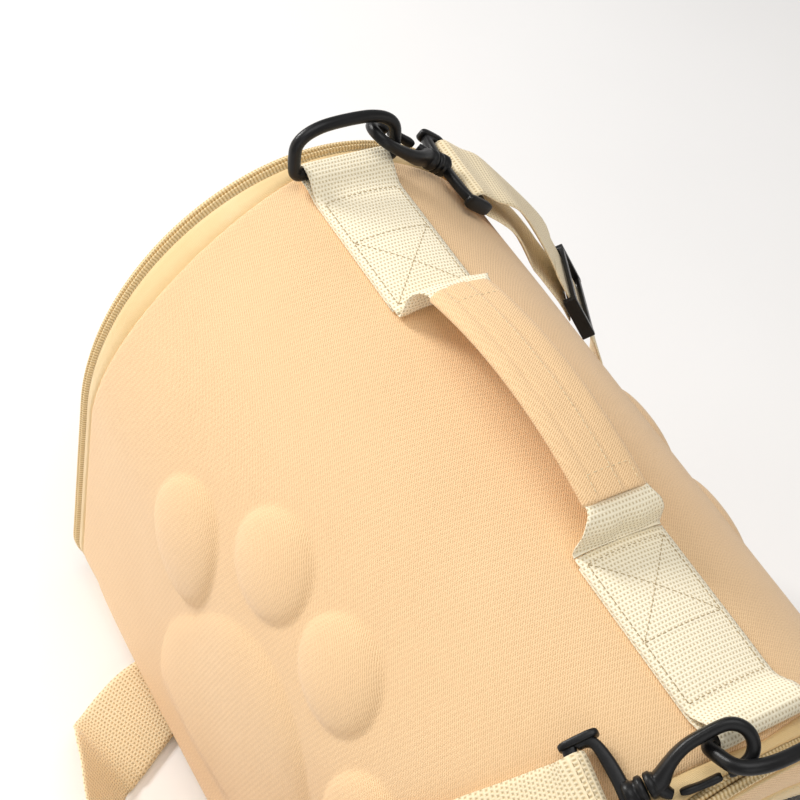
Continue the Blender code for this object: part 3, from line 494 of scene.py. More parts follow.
def strip(name, stations, half_t, body, slot, across=21):
    """Woven strip; a station is (centre, across, up, half width, lift), lift a function of -1..1 across."""
    vs = [2.0 * k / (across - 1) - 1.0 for k in range(across)]
    run = lengths([s[0] for s in stations])
    rows, uv = [], []
    for (c, w, up, hw, lift), s in zip(stations, run):
        top, low = [], []
        for v in vs:
            base = np.array(c) + np.array(w) * (hw * v) + np.array(up) * lift(v)
            h = half_t * (1.0 - 0.62 * abs(v) ** 12)
            top.append(base + np.array(up) * h)
            low.append(base - np.array(up) * h)
        rows.append(top + low[::-1])
        line = [(hw * v, s) for v in vs]
        uv.append(line + line[::-1] + [line[0]])
    return grid(name, rows, uv, body, slot, round_cols=True, caps=True)


# one stitch as rings: share of its length, share of its radius, height in radii
STITCH_RINGS = ((0.0, 0.35, -0.9), (0.18, 0.95, 0.1), (0.5, 1.0, 0.35), (0.82, 0.95, 0.1), (1.0, 0.35, -0.9))
STITCH_SIDES = 5


class Stitches:
    """Sewn runs gathered into one piece."""

    def __init__(self):
        self.verts, self.faces = [], []

    def run(self, points, ups, length=0.0024, gap=0.0008, radius=0.00034, sink=0.00012):
        """Stitches along points that lie on the cloth, with the cloth's normals."""
        pts = [np.array(p, float) for p in points]
        nrm = [np.array(u, float) for u in ups]
        total = lengths(pts)
        count = max(1, int(total[-1] / (length + gap)))
        pitch = total[-1] / count
        share = length / (length + gap)
        m = STITCH_SIDES

        def at(s):
            i = int(np.searchsorted(total, s, side="right")) - 1
            i = min(max(i, 0), len(pts) - 2)
            f = (s - total[i]) / max(total[i + 1] - total[i], 1e-9)
            return pts[i] + (pts[i + 1] - pts[i]) * f, nrm[i] + (nrm[i + 1] - nrm[i]) * f

        for k in range(count):
            s0 = k * pitch
            first = len(self.verts)
            a, _ = at(s0)
            b, _ = at(s0 + pitch * share)
            t = b - a
            t /= max(np.linalg.norm(t), 1e-9)
            for f, r, h in STITCH_RINGS:
                c, u = at(s0 + pitch * share * f)
                u = u / np.linalg.norm(u)
                side = np.cross(u, t)
                side /= max(np.linalg.norm(side), 1e-9)
                c = c + u * (h * radius - sink * 0.5)
                for j in range(m):
                    ang = 2 * math.pi * j / m
                    self.verts.append(c + side * (radius * r * math.cos(ang))
                                      + u * (radius * r * math.sin(ang)))
            for low in range(first, first + 4 * m, m):
                self.faces += [(low + j, low + (j + 1) % m, low + m + (j + 1) % m, low + m + j)
                               for j in range(m)]
            self.faces.append(tuple(range(first + m - 1, first - 1, -1)))
            self.faces.append(tuple(range(first + 4 * m, first + 5 * m)))

    def over(self, surface, a, b, count, *stitch):
        """Straight run from a to b in the coordinates of a surface that gives places and normals."""
        rows = [surface(a[0] + (b[0] - a[0]) * k / count, a[1] + (b[1] - a[1]) * k / count)
                for k in range(count + 1)]
        self.run([r[0] for r in rows], [r[1] for r in rows], *stitch)

    def make(self, name, body, slot="webbing", mat="thread"):
        return mesh_piece(name, self.verts, self.faces, None, body, slot, fix=False, mat=mat)


# ------------------------------------------------------------ the arch and what is moulded in it
def arch(inset, n_corner=8, n_side=14, n_crown=96):
    """(y, z, outward y, outward z) from the left foot over the ridge to the right foot."""
    flat = ARCH_A - CORNER_R
    left = []
    for i in range(n_corner + 1):
        t = math.pi / 2 * i / n_corner
        r = CORNER_R - inset
        s, c = math.sin(t), math.cos(t)
        left.append((-(flat + r * s), BASE_Z + CORNER_R - r * c, -s, -c))
    low = BASE_Z + CORNER_R
    for i in range(1, n_side + 1):
        left.append((-(ARCH_A - inset), low + (CROWN_Z - low) * i / n_side, -1.0, 0.0))
    for i in range(1, n_crown // 2 + 1):
        t = math.pi / 2 * i / (n_crown // 2)
        a, b = ARCH_A - inset, ARCH_B - inset
        ny, nz = -math.cos(t) / a, math.sin(t) / b
        size = math.hypot(ny, nz)
        left.append((-a * math.cos(t), CROWN_Z + b * math.sin(t), ny / size, nz / size))
    return left + [(-y, z, -ny, nz) for y, z, ny, nz in reversed(left[:-1])]


def crown_turn(y, z):
    """0 at the ridge, 1 where the crown meets the side."""
    return 1.0 if z <= CROWN_Z else math.atan2(abs(y) / ARCH_A, (z - CROWN_Z) / ARCH_B) / (math.pi / 2)


def shell_end(y, z):
    """Half length of the shell at a place on the arch."""
    return SHELL_HALF - SCALLOP * math.sin(math.pi * crown_turn(y, z)) ** 1.2 if z > CROWN_Z else SHELL_HALF


def ridge_drop(y):
    """How far the shell falls below the ridge at a distance from it."""
    return ARCH_B * (math.sqrt(max(0.0, 1.0 - (y / ARCH_A) ** 2)) - 1.0)


# running length over a quarter of the crown, every quarter of a degree from the ridge
CROWN_RUN = [0.0]
for step in range(360):
    t0, t1 = math.radians(step / 4), math.radians((step + 1) / 4)
    CROWN_RUN.append(CROWN_RUN[-1] + math.hypot(ARCH_A * (math.sin(t1) - math.sin(t0)),
                                                ARCH_B * (math.cos(t1) - math.cos(t0))))


def from_ridge(y, z):
    """Length over the outside from the ridge."""
    if z <= CROWN_Z:
        return CROWN_RUN[-1] + CROWN_Z - z
    t = math.degrees(math.atan2(abs(y) / ARCH_A, (z - CROWN_Z) / ARCH_B)) * 4
    i = min(int(t), 359)
    return CROWN_RUN[i] + (CROWN_RUN[i + 1] - CROWN_RUN[i]) * (t - i)


# ovals of the paw: place along and round the shell, and their half sizes
TOES = [(-0.0942, 0.2008, 0.0308, 0.0385), (-0.0337, 0.1495, 0.0290, 0.0270),
        (0.0337, 0.1495, 0.0290, 0.0270), (0.0942, 0.2008, 0.0308, 0.0385)]
PADS = [(-0.0045, 0.2680, 0.0670, 0.0790), (-0.0450, 0.3105, 0.0525, 0.0785),
        (0.0370, 0.2900, 0.0460, 0.0450)]


def dome(q, height):
    """Soft-edged dome; q is 1 in the middle and 0 on the outline."""
    s = 0.5 * (q + math.sqrt(q * q + 0.0035))
    tail = min(1.0, max(0.0, (q + 0.10) / 0.10))
    return height * s ** 0.58 * tail * tail * (3 - 2 * tail) if tail < 1.0 else height * s ** 0.58


def corner_at(x, turn, inset):
    """Place (y, z) on the lower left corner, round at the ends and squarer between; turn is 0 at the foot."""
    power = 2.0 / (2.0 + 3.0 * max(0.0, math.cos(min(abs(x) / 0.17, 1.0) * math.pi / 2)) ** 0.7)
    r = CORNER_R - inset
    return (-(ARCH_A - CORNER_R + r * math.sin(turn) ** power),
            BASE_Z + CORNER_R - r * max(0.0, math.cos(turn)) ** power)


def pad_fade(s):
    """1 over the upper part of the main pad, falling to 0 before the lower corner."""
    t = min(1.0, max(0.0, (s - 0.312) / 0.032))
    return 1.0 - t * t * (3.0 - 2.0 * t)


def emboss(x, s):
    """How far the moulded paw stands out at a place along and round the shell."""
    def oval(cx, cs, rx, rs):
        """1 in the middle of an oval, 0 on its outline."""
        return 1.0 - ((x - PAW_X - cx) / rx) ** 2 - ((s - cs) / rs) ** 2

    best = max([0.0] + [dome(q, TOE_H) for q in (oval(*toe) for toe in TOES) if q > -0.10])
    lobes = [oval(*pad) for pad in PADS]
    if max(lobes) > -0.10:
        soft = math.log(sum(math.exp(7.0 * max(q, -3.0)) for q in lobes)) / 7.0
        best = max(best, dome(min(soft, 1.0), PAD_H) * pad_fade(s))
    return best


def build_shell():
    """Foam shell laminated with twill, its edges turned under."""
    pts = arch(0.0, 10, 52, 230)
    steps = [-1.0 + 2.0 * i / 216 for i in range(217)]
    edge = [(0.0, 0.0016), (0.0003, 0.0009), (0.0009, 0.0004), (0.0020, 0.0001)]
    rows, uv = [], []
    last = len(pts) - 1
    for k_pt, (y, z, ny, nz) in enumerate(pts):
        half = shell_end(y, z)
        s = from_ridge(y, z) * (1 if y >= 0 else -1)
        foot = min(k_pt, last - k_pt)
        side = 1.0 if y < 0 else -1.0
        xs = [(-half + d, drop) for d, drop in edge]
        xs += [(u * (half - 0.0038), 0.0) for u in steps]
        xs += [(half - d, drop) for d, drop in reversed(edge)]
        outer, inner, line = [], [], []
        for x, drop in xs:
            h = emboss(x, abs(s)) - drop
            wave = 0.00025 * noise.noise(Vector((x * 22, y * 22, z * 22)))
            k = SHELL_T - max(h, 0.0) * 0.85
            if foot <= 10:
                cy, cz = corner_at(x, math.pi / 2 * foot / 10, -(h + wave))
                iy, iz = corner_at(x, math.pi / 2 * foot / 10, k)
                outer.append((x, side * cy, cz))
                inner.append((x, side * iy, iz))
            else:
                outer.append((x, y + ny * (h + wave), z + nz * (h + wave)))
                inner.append((x, y - ny * k, z - nz * k))
            line.append((x, s))
        rows.append(outer + inner[::-1])
        uv.append(line + line[::-1] + [line[0]])
    obj = grid("shell_skin", rows, uv, "carrier", "shell_fabric", round_cols=True, caps=True)
    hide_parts("moulded_shell")


build_shell()


# ------------------------------------------------------------ both ends: gusset, zip, door
def rim(name, profile, body, slot, ribs=0.0, dense=96, node=None):
    """Strip round the rim; profile(y, z) gives (x, inset, share of tooth) places, ribs the tooth height."""
    pts = [p for p in arch(0.0, 16, 30, dense) if p[1] >= RIM_Z]
    run = lengths([(p[0], p[1]) for p in pts])
    if ribs:
        want = np.linspace(0.0, run[-1], int(run[-1] / ZIP_PITCH * 4))
        cols = np.array(pts)
        pts = [tuple(np.interp(w, run, cols[:, k]) for k in range(4)) for w in want]
        run = list(want)
    rows, uv = [], []
    for (y, z, ny, nz), s in zip(pts, run):
        ring, line = [], []
        tooth = 0.5 + 0.5 * math.sin(2 * math.pi * s / ZIP_PITCH)
        for x, inset, tall in profile(y, z):
            d = inset - tall * ribs * tooth
            ring.append((x, y - ny * d, z - nz * d))
            line.append((abs(x), s))
        rows.append(ring)
        uv.append(line + [line[0]])
    obj = grid(name, rows, uv, body, slot, round_cols=True, caps=True)
    if node:
        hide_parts(node)
    return obj


DOOR_GAP = 0.0026       # from the arch to the edge of the door


def door_outline(inset):
    """Closed outline (y, z) of the door at an inset from the arch, over a level lower edge."""
    depth = inset - DOOR_GAP
    level, corner = HINGE_Z - 0.0005 + depth, max(0.018, 0.030 - depth * 0.32)
    a, b = ARCH_A - inset, ARCH_B - inset
    n_crown, n_side, n_corner, n_flat = 44, 14, 10, 14
    half = []
    for i in range(n_crown):
        t = math.pi / 2 * i / n_crown
        half.append((a * math.sin(t), CROWN_Z + b * math.cos(t)))
    half += [(a, CROWN_Z + (level + corner - CROWN_Z) * i / n_side) for i in range(n_side)]
    for i in range(n_corner):
        t = math.pi / 2 * i / n_corner
        half.append((a - corner + corner * math.cos(t), level + corner - corner * math.sin(t)))
    half += [((a - corner) * (1.0 - i / n_flat), level) for i in range(n_flat + 1)]
    return half + [(-y, z) for y, z in reversed(half[1:-1])]


def sill_lip(side, word):
    """Sewn lip behind the lower edge of the door, over the base and a little way up both corners."""
    profile = [(0.1887, 0.0044), (0.1940, 0.0044), (0.1996, 0.0044), (0.2000, 0.0050), (0.2000, 0.0110),
               (0.1995, 0.0116), (0.1990, 0.0110), (0.1990, 0.0061), (0.1984, 0.0055), (0.1887, 0.0054)]
    corner = [p for p in arch(0.0, 16, 30, 96) if p[0] < 0.0 and p[1] <= 0.036]
    flat = ARCH_A - CORNER_R
    base = [(-flat + 2 * flat * i / 48, BASE_Z, 0.0, -1.0) for i in range(1, 48)]
    path = corner[::-1] + base + [(-y, z, -ny, nz) for y, z, ny, nz in corner]
    run = lengths([(p[0], p[1]) for p in path])
    rows, uv = [], []
    for (y, z, ny, nz), s in zip(path, run):
        rows.append([(side * x, y - ny * d, z - nz * d) for x, d in profile])
        line = [(x + d, s) for x, d in profile]
        uv.append(line + [line[0]])
    grid("sill_lip_" + word, rows, uv, "carrier", "gusset_satin", round_cols=True, caps=True)


RIM_X0 = RIM_HALF - 2 * CHAIN_W - 0.0004
for side, word in SIDES:
    door = "door_" + word
    sill_lip(side, word)

    def gusset_profile(y, z, sgn=side):
        """Cloth from under the edge of the shell to the zip, and its turned-in back."""
        lo, hi = shell_end(y, z) - 0.0012, RIM_X0
        w = hi - lo
        out = [(lo, 0.0023), (lo + 0.0011, 0.0016), (lo + w * 0.30, 0.0004), (lo + w * 0.5, 0.0001),
               (lo + w * 0.74, 0.0003), (hi - 0.0010, 0.0002), (hi - 0.0002, 0.0012)]
        back = [(hi - 0.0004, 0.0024), (lo + w * 0.5, 0.0025), (lo, 0.0031)]
        return [(sgn * x, d, 0.0) for x, d in out + back]

    rim("gusset_skin_" + word, gusset_profile, "carrier", "gusset_satin", dense=150,
        node="gusset_" + word)

    def chain(inner_edge, sgn=side):
        """Tape edge and coil bead of one half of the zip; inner_edge is the x of the meeting line."""
        tape_dir = -1.0 if inner_edge < RIM_HALF - CHAIN_W else 1.0
        m = inner_edge
        prof = [(0.0000, 0.0024, 0.0), (0.0000, 0.0008, 0.5), (0.0004, 0.0000, 1.0), (0.0011, -0.0006, 1.0),
                (0.0018, -0.0002, 1.0), (0.0023, 0.0008, 0.5), (0.0027, 0.0013, 0.0), (0.0039, 0.0009, 0.0),
                (0.0040, 0.0024, 0.0)]
        return lambda y, z: [(sgn * (m + tape_dir * d), inset, tall) for d, inset, tall in prof]

    rim("zip_coil_body_" + word, chain(RIM_HALF - CHAIN_W - 0.0004), "carrier", "zip_tape",
        ribs=0.0005, dense=240, node="body_zip_half_" + word)
    rim("zip_coil_door_" + word, chain(RIM_HALF - CHAIN_W), door, "zip_tape",
        ribs=0.0005, dense=240, node="door_zip_half_" + word)

    # door panel: a padded border, a piped edge, a bound window and its knitted mesh
    face_x = side * (RIM_HALF - 0.0008)
    back_x = side * (RIM_HALF - 0.0033)

    def ring_at(inset, drop, sgn=side, face=face_x):
        """Ring round the door at an inset, this far behind its face."""
        return [(face - sgn * drop, y, z) for y, z in door_outline(inset)]

    levels = [(0.0030, 0.0014), (0.0034, 0.0005), (0.0050, 0.0000), (0.0100, -0.0006), (0.0180, -0.0013),
              (0.0260, -0.0010), (0.0330, -0.0002), (0.0380, 0.0004), (0.0396, 0.0011)]
    rings = [ring_at(*level) for level in levels]
    rings += [[(back_x, y, z) for y, z in door_outline(i)] for i in (0.0396, 0.0030)]
    uvs = [[(p[1], p[2]) for p in r] + [(r[0][1], r[0][2])] for r in rings]
    uvs.append(uvs[0])
    panel = grid("door_panel_" + word, rings, uvs, door, "shell_fabric", round_rows=True,
                 round_cols=True)
    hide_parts("door_border_" + word)
    tube("door_piping_" + word, ring_at(0.0068, -0.0002), (0.0013, 0.0013), (1, 0, 0), door, "gusset_satin",
         closed=True, count=12)
    bind = [(0.0330, 0.0000), (0.0332, -0.0009), (0.0400, -0.0013), (0.0444, -0.0009), (0.0448, 0.0006),
            (0.0440, 0.0030), (0.0340, 0.0030)]
    rings = [ring_at(*level) for level in bind]
    run = lengths(rings[0] + [rings[0][0]])
    uvs = [[(i, s) for s in run] for i, _ in bind]
    uvs.append(uvs[0])
    grid("window_binding_" + word, rings, uvs, door, "gusset_satin", round_rows=True, round_cols=True)

    # the net shrinks ring by ring to one point in the middle and bellies a little between
    net_x, net_z, net_rings = RIM_HALF - 0.0046, 0.165, 14
    edge = door_outline(0.0425)
    count = len(edge)
    verts, faces = [], []
    for i in range(net_rings):
        f = i / net_rings
        x = side * (net_x + 0.0014 * math.sin(math.pi * f) * 0.4)
        verts += [(x, y * (1 - f), net_z + (z - net_z) * (1 - f)) for y, z in edge]
    tip = len(verts)
    verts.append((side * net_x, 0.0, net_z))
    for i in range(net_rings - 1):
        for j in range(count):
            q = (j + 1) % count
            faces.append((i * count + j, i * count + q, (i + 1) * count + q, (i + 1) * count + j))
    faces += [(tip - count + j, tip - count + (j + 1) % count, tip) for j in range(count)]
    loops = [(verts[v][1], verts[v][2]) for f in faces for v in f]
    net = mesh_piece("window_mesh_" + word, verts, faces, loops, door, "mesh")
    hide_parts("door_mesh_" + word)
    sew = Stitches()
    for inset in (0.0350, 0.0432):
        seam = ring_at(inset, -0.0011)
        seam.append(seam[0])
        sew.run(seam, [(side, 0, 0)] * len(seam), 0.0026, 0.0010)
    sew.make("stitches_door_" + word, door, "gusset_satin", "thread_light")

# the seam beside the zip
sew = Stitches()
for side, word in SIDES:
    pts, ups = [], []
    for y, z, ny, nz in arch(0.0, 16, 30, 150):
        if z >= RIM_Z + 0.002:
            pts.append((side * (RIM_X0 - 0.0016), y - ny * 0.0006, z - nz * 0.0006))
            ups.append((0.0, ny, nz))
    sew.run(pts, ups, 0.0026, 0.0009, 0.00026)
sew.make("stitches_rim", "carrier", "gusset_satin", "thread_light")


# ------------------------------------------------------------ webbing on the ridge and the grip
Z_LOW = TOP_Z + 0.0003 + WEB_T / 2
Z_UP = Z_LOW + WEB_T + 0.0003


def heading(path, i):
    """Direction (x, z) of a path at one of its points."""
    a, b = path[max(i - 1, 0)], path[min(i + 1, len(path) - 1)]
    size = math.hypot(b[0] - a[0], b[1] - a[1])
    return (b[0] - a[0]) / size, (b[1] - a[1]) / size


for side, word in SIDES:
    bar_x = RING_X[side]
    keys = []
    for f in (0.0, 0.5, 1.0):
        keys.append((LIFT_X + 0.004 + (bar_x - 0.024 - LIFT_X) * f, Z_LOW, 0.0))
    keys += [(bar_x - 0.0125, Z_LOW, 0.35), (bar_x - 0.0075, Z_LOW, 0.8)]
    turn_r = RING_R + 0.0004 + WEB_T / 2
    for k in range(9):
        t = math.radians(-90 + 22.5 * k)
        keys.append((bar_x + turn_r * math.cos(t), RING_Z + turn_r * math.sin(t), 1.0))
    top = RING_Z + turn_r
    keys += [(bar_x - 0.0065, top + (Z_UP - top) * 0.22, 0.85),
             (bar_x - 0.0125, top + (Z_UP - top) * 0.72, 0.45), (bar_x - 0.0195, Z_UP, 0.0)]
    for f in (0.2, 0.4, 0.6, 0.8, 1.0):
        keys.append((bar_x - 0.0195 + (LIFT_X - bar_x + 0.0195) * f, Z_UP, 0.0))
    path = spline(keys, 5)
    stations = []
    for i, (x, z, f) in enumerate(path):
        nz, down = heading(path, i)
        # the upper layer's outside faces up, the lower layer's outside faces down
        stations.append(((side * x, 0.0, z), (0.0, 1.0, 0.0), (side * down, 0.0, -nz), WEB_W / 2,
                         lambda v, f=min(max(f, 0.0), 1.0), s=-nz: s * ridge_drop(WEB_W / 2 * v) * (1.0 - f)))
    obj = strip("ridge_web_" + word, stations, WEB_T / 2, "carrier", "webbing")
    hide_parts("ridge_webbing_" + word)

sew = Stitches()


def on_web(x, y):
    """Place and normal on top of the ridge webbing."""
    slope = -ARCH_B / ARCH_A ** 2 * y / math.sqrt(1 - (y / ARCH_A) ** 2)
    n = Vector((0.0, -slope, 1.0)).normalized()
    return (x, y, Z_UP + WEB_T / 2 + ridge_drop(y)), tuple(n)


BOX_STITCH, SLEEVE_STITCH = (24, 0.0023, 0.0007, 0.00030), (0.0024, 0.0009, 0.00028)
for side, word in SIDES:
    end = RING_X[side] - 0.0205
    x_out, x_in, yy = 0.131, 0.0856, 0.0218
    for s in (-1, 1):
        sew.over(on_web, (side * x_in, s * yy), (side * end, s * yy), *BOX_STITCH)
        sew.over(on_web, (side * x_in, s * yy), (side * x_out, -s * yy), *BOX_STITCH)
    for x in (x_in, x_out, end):
        sew.over(on_web, (side * x, -yy), (side * x, yy), *BOX_STITCH)
sew.make("stitches_ridge", "carrier")


def grip_z(x):
    """Centre height of the grip."""
    return GRIP_END_Z + (GRIP_MID_Z - GRIP_END_Z) * (1.0 - (x / GRIP_X) ** 2)


def grip_frame(x):
    """Centre of the grip and the normal of its curve."""
    slope = -2.0 * (GRIP_MID_Z - GRIP_END_Z) * x / GRIP_X ** 2
    n = Vector((-slope, 0.0, 1.0)).normalized()
    return np.array((x, 0.0, grip_z(x))), np.array(n)


def sleeve_top(x, v):
    """Place on top of the sleeve, v from -1 to 1 across."""
    c, n = grip_frame(x)
    h = 0.0036 * (1.0 - abs(v) ** 5.0) ** 0.55 + 0.0012 * (1 - v * v)
    crease = 0.0006 * math.exp(-((v + 0.54) / 0.06) ** 2) + 0.0005 * math.exp(-((v - 0.22) / 0.045) ** 2)
    rise = 0.00045 / (1.0 + math.exp((v - 0.22) / 0.02))
    return c + np.array((0.0, SLEEVE_HALF * v, 0.0)) + n * (h - crease + rise), n


def build_sleeve():
    """Padded cover of the grip."""
    rows, uv = [], []
    count, m = 84, 44
    for i in range(count + 1):
        x = GRIP_X * (2.0 * i / count - 1.0)
        c, n = grip_frame(x)
        ring, line = [], []
        for k in range(m + 1):
            v = -math.cos(math.pi * k / m)
            p, _ = sleeve_top(x, v)
            ring.append(p + n * 0.00022 * noise.noise(Vector((x * 60, v * 3, 0))))
            line.append((v * SLEEVE_HALF, x))
        for k in range(1, m):
            v = math.cos(math.pi * k / m)
            h = 0.0036 * (1.0 - abs(v) ** 5.0) ** 0.55 - 0.0006 * (1 - v * v)
            ring.append(c + np.array((0.0, SLEEVE_HALF * v, 0.0)) - n * h)
            line.append((2 * SLEEVE_HALF - v * SLEEVE_HALF, x))
        rows.append(ring)
        uv.append(line + [(line[0][0] + 4 * SLEEVE_HALF, x)])
    # the ends turn in, so the sleeve is open on the core
    for end, sgn in ((0, -1), (-1, 1)):
        c, n = grip_frame(sgn * GRIP_X)
        for shrink, dx in ((0.90, 0.0006), (0.78, -0.0008), (0.74, -0.0060)):
            ring = [c + (p - c) * np.array((1.0, shrink, 1.0)) for p in rows[end]]
            ring = [np.array((q[0] + sgn * dx, q[1], c[2] + (q[2] - c[2]) * shrink)) for q in ring]
            if end == 0:
                rows.insert(0, ring)
                uv.insert(0, [(a, b - 0.001) for a, b in uv[0]])
            else:
                rows.append(ring)
                uv.append([(a, b + 0.001) for a, b in uv[-1]])
    obj = grid("grip_cover", rows, uv, "grip", "shell_fabric", round_cols=True)
    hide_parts("grip_sleeve")


build_sleeve()

sew = Stitches()
sew.over(sleeve_top, (-0.0660, 0.10), (0.0660, 0.10), 90, *SLEEVE_STITCH)
for sgn in (-1, 1):
    corners = [(sgn * 0.0560, -0.62), (sgn * 0.0560, 0.72)]
    sew.over(sleeve_top, *corners, 40, *SLEEVE_STITCH)
    for x, v in reversed(corners):
        sew.over(sleeve_top, (x, v), (sgn * 0.0656, v), 40, *SLEEVE_STITCH)
sew.make("stitches_grip", "grip", "shell_fabric", "thread_light")

for side, word in SIDES:
    z_in = grip_z(GRIP_X)
    keys = [(LIFT_X - 0.0003, Z_UP, 1.0), (LIFT_X - 0.0014, Z_UP + 0.0005, 1.0),
            (LIFT_X - 0.0024, Z_UP + 0.0040, 0.98), (LIFT_X - 0.0024, Z_UP + 0.0110, 0.92),
            (LIFT_X - 0.0046, z_in - 0.0012, 0.84), (GRIP_X + 0.0035, z_in + 0.0009, 0.73),
            (GRIP_X - 0.0030, z_in + 0.0014, 0.68)]
    path = spline(keys, 7)
    stations = []
    for i, (x, z, w) in enumerate(path):
        tx, tz = heading(path, i)
        f = i / (len(path) - 1)
        fold = 0.0005 * math.sin(math.pi * min(1.0, f * 1.1)) ** 2
        half = WEB_W / 2 * w

        def lift(v, hug=(1.0 - f) * min(1.0, 1.1 * abs(tx)), k=fold, half=half):
            return ridge_drop(half * v) * hug - k * math.cos(2.4 * math.pi * v) + k * 0.4
        stations.append(((side * x, 0.0, z), (0.0, 1.0, 0.0), (side * tz, 0.0, -tx), half, lift))
    obj = strip("grip_web_" + word, stations, WEB_T / 2, None, "webbing")
    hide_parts("grip_webbing_" + word)
    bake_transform(obj)


# ------------------------------------------------------------ moulded fittings
RING_CORNER = 0.014
RING_LEAN = {-1: Vector((-0.208, 0.0, 0.978)), 1: Vector((0.899, 0.0, 0.438))}
for side, word in SIDES:
    up = RING_LEAN[side].normalized()
    c = Vector((side * RING_X[side], 0.0, RING_Z))
    leg = RING_RISE - RING_CORNER
    pts = [(RING_HALF * k, 0.0) for k in (-0.86, -0.45, 0.0, 0.45, 0.86)]
    pts += [(RING_HALF * 0.965, 0.0012), (RING_HALF, 0.0045), (RING_HALF, leg)]
    for k in range(1, 12):
        t = math.radians(180.0 * k / 12)
        pts.append((RING_HALF * math.copysign(abs(math.cos(t)) ** 0.75, math.cos(t)),
                    leg + RING_CORNER * abs(math.sin(t)) ** 0.85))
    pts += [(-RING_HALF, leg), (-RING_HALF, 0.0045), (-RING_HALF * 0.965, 0.0012)]
    path = [np.array(c + Vector((0.0, 1.0, 0.0)) * p[0] + up * p[1]) for p in spline(pts, 7, closed=True)]
    plane = np.array(Vector((0.0, 1.0, 0.0)).cross(up))
    obj = tube("D_ring_moulded_" + word, path, (RING_R, RING_R * 0.98), plane, "D_ring_" + word,
               "black_plastic", closed=True, count=22)
    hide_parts("D_ring_" + word)


def frame_matrix(origin, x_axis, z_axis):
    """Placement with local x along x_axis and local z as near z_axis as it can be."""
    x = Vector(x_axis).normalized()
    z = Vector(z_axis)
    z = (z - x * z.dot(x)).normalized()
    return Matrix.Translation(Vector(origin)) @ Matrix((x, z.cross(x), z)).transposed().to_4x4()


HOOK_FRAME = {
    "far": frame_matrix((-0.1772, 0.0747, TOP_Z - 0.0176), (-0.0063, -0.0447, 0.0304), (0.0, 0.60, 0.80)),
    "near": frame_matrix((0.1820, -0.0765, TOP_Z - 0.0185), (0.0093, 0.0465, 0.0276), (0.0, -0.60, 0.80)),
}
HOOK_TURN = {"far": 0.0, "near": 30.0}
BOW_X, BOW_R = 0.0615, 0.0094


def joined(name, objs, body):
    """Several parts of one moulding as one piece."""
    bpy.ops.object.select_all(action="DESELECT")
    for o in objs:
        o.select_set(True)
    bpy.context.view_layer.objects.active = objs[0]
    bpy.ops.object.join()
    obj = objs[0]
    obj.name = name
    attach(obj, body)
    return obj


def lathe(name, profile, place, count=28):
    """Turned form about local x; profile is (x, radius)."""
    turns = [2 * math.pi * k / count for k in range(count)]
    rows = [[(x, r * math.cos(t), r * math.sin(t)) for t in turns] for x, r in profile]
    return ringed(name, rows, None, "black_plastic", place=place, run=[x for x, _ in profile])


def block(name, centre, half, place, power=4.0):
    """Rounded block in a local frame."""
    rows, run = [], []
    count, n = 24, 14
    for i in range(1, n):
        t = -math.pi / 2 + math.pi * i / n
        c, s = math.cos(t), math.sin(t)
        r = abs(c) ** (2 / power)
        x = centre[0] + half[0] * math.copysign(abs(s) ** (2 / power), s)
        run.append(x)
        rows.append(section((x, centre[1], centre[2]), (0.0, half[1] * r, 0.0), (0.0, 0.0, half[2] * r),
                            count, power))
    return ringed(name, rows, None, "black_plastic", place=place, run=run)


def bar(name, stations, steps, body, place, count, power=2.6):
    """Moulded bar in the local plane z = 0; a station is (x, y, half width, half depth)."""
    fine = spline(stations, steps)
    return tube(name, [(p[0], p[1], 0.0) for p in fine], [(p[2], p[3]) for p in fine], (0, 0, 1), body,
                "black_plastic", count=count, power=power, place=place)


def loop_outline(end, middle, half, tip):
    """Closed outline, the same on both sides of y = 0: a straight bar, then round to the tip."""
    (x, y), back = end, [(hx, -hy) for hx, hy in reversed(half)]
    return [(x, -y), (middle, 0.0), (x, y)] + half + [(tip, 0.0)] + back


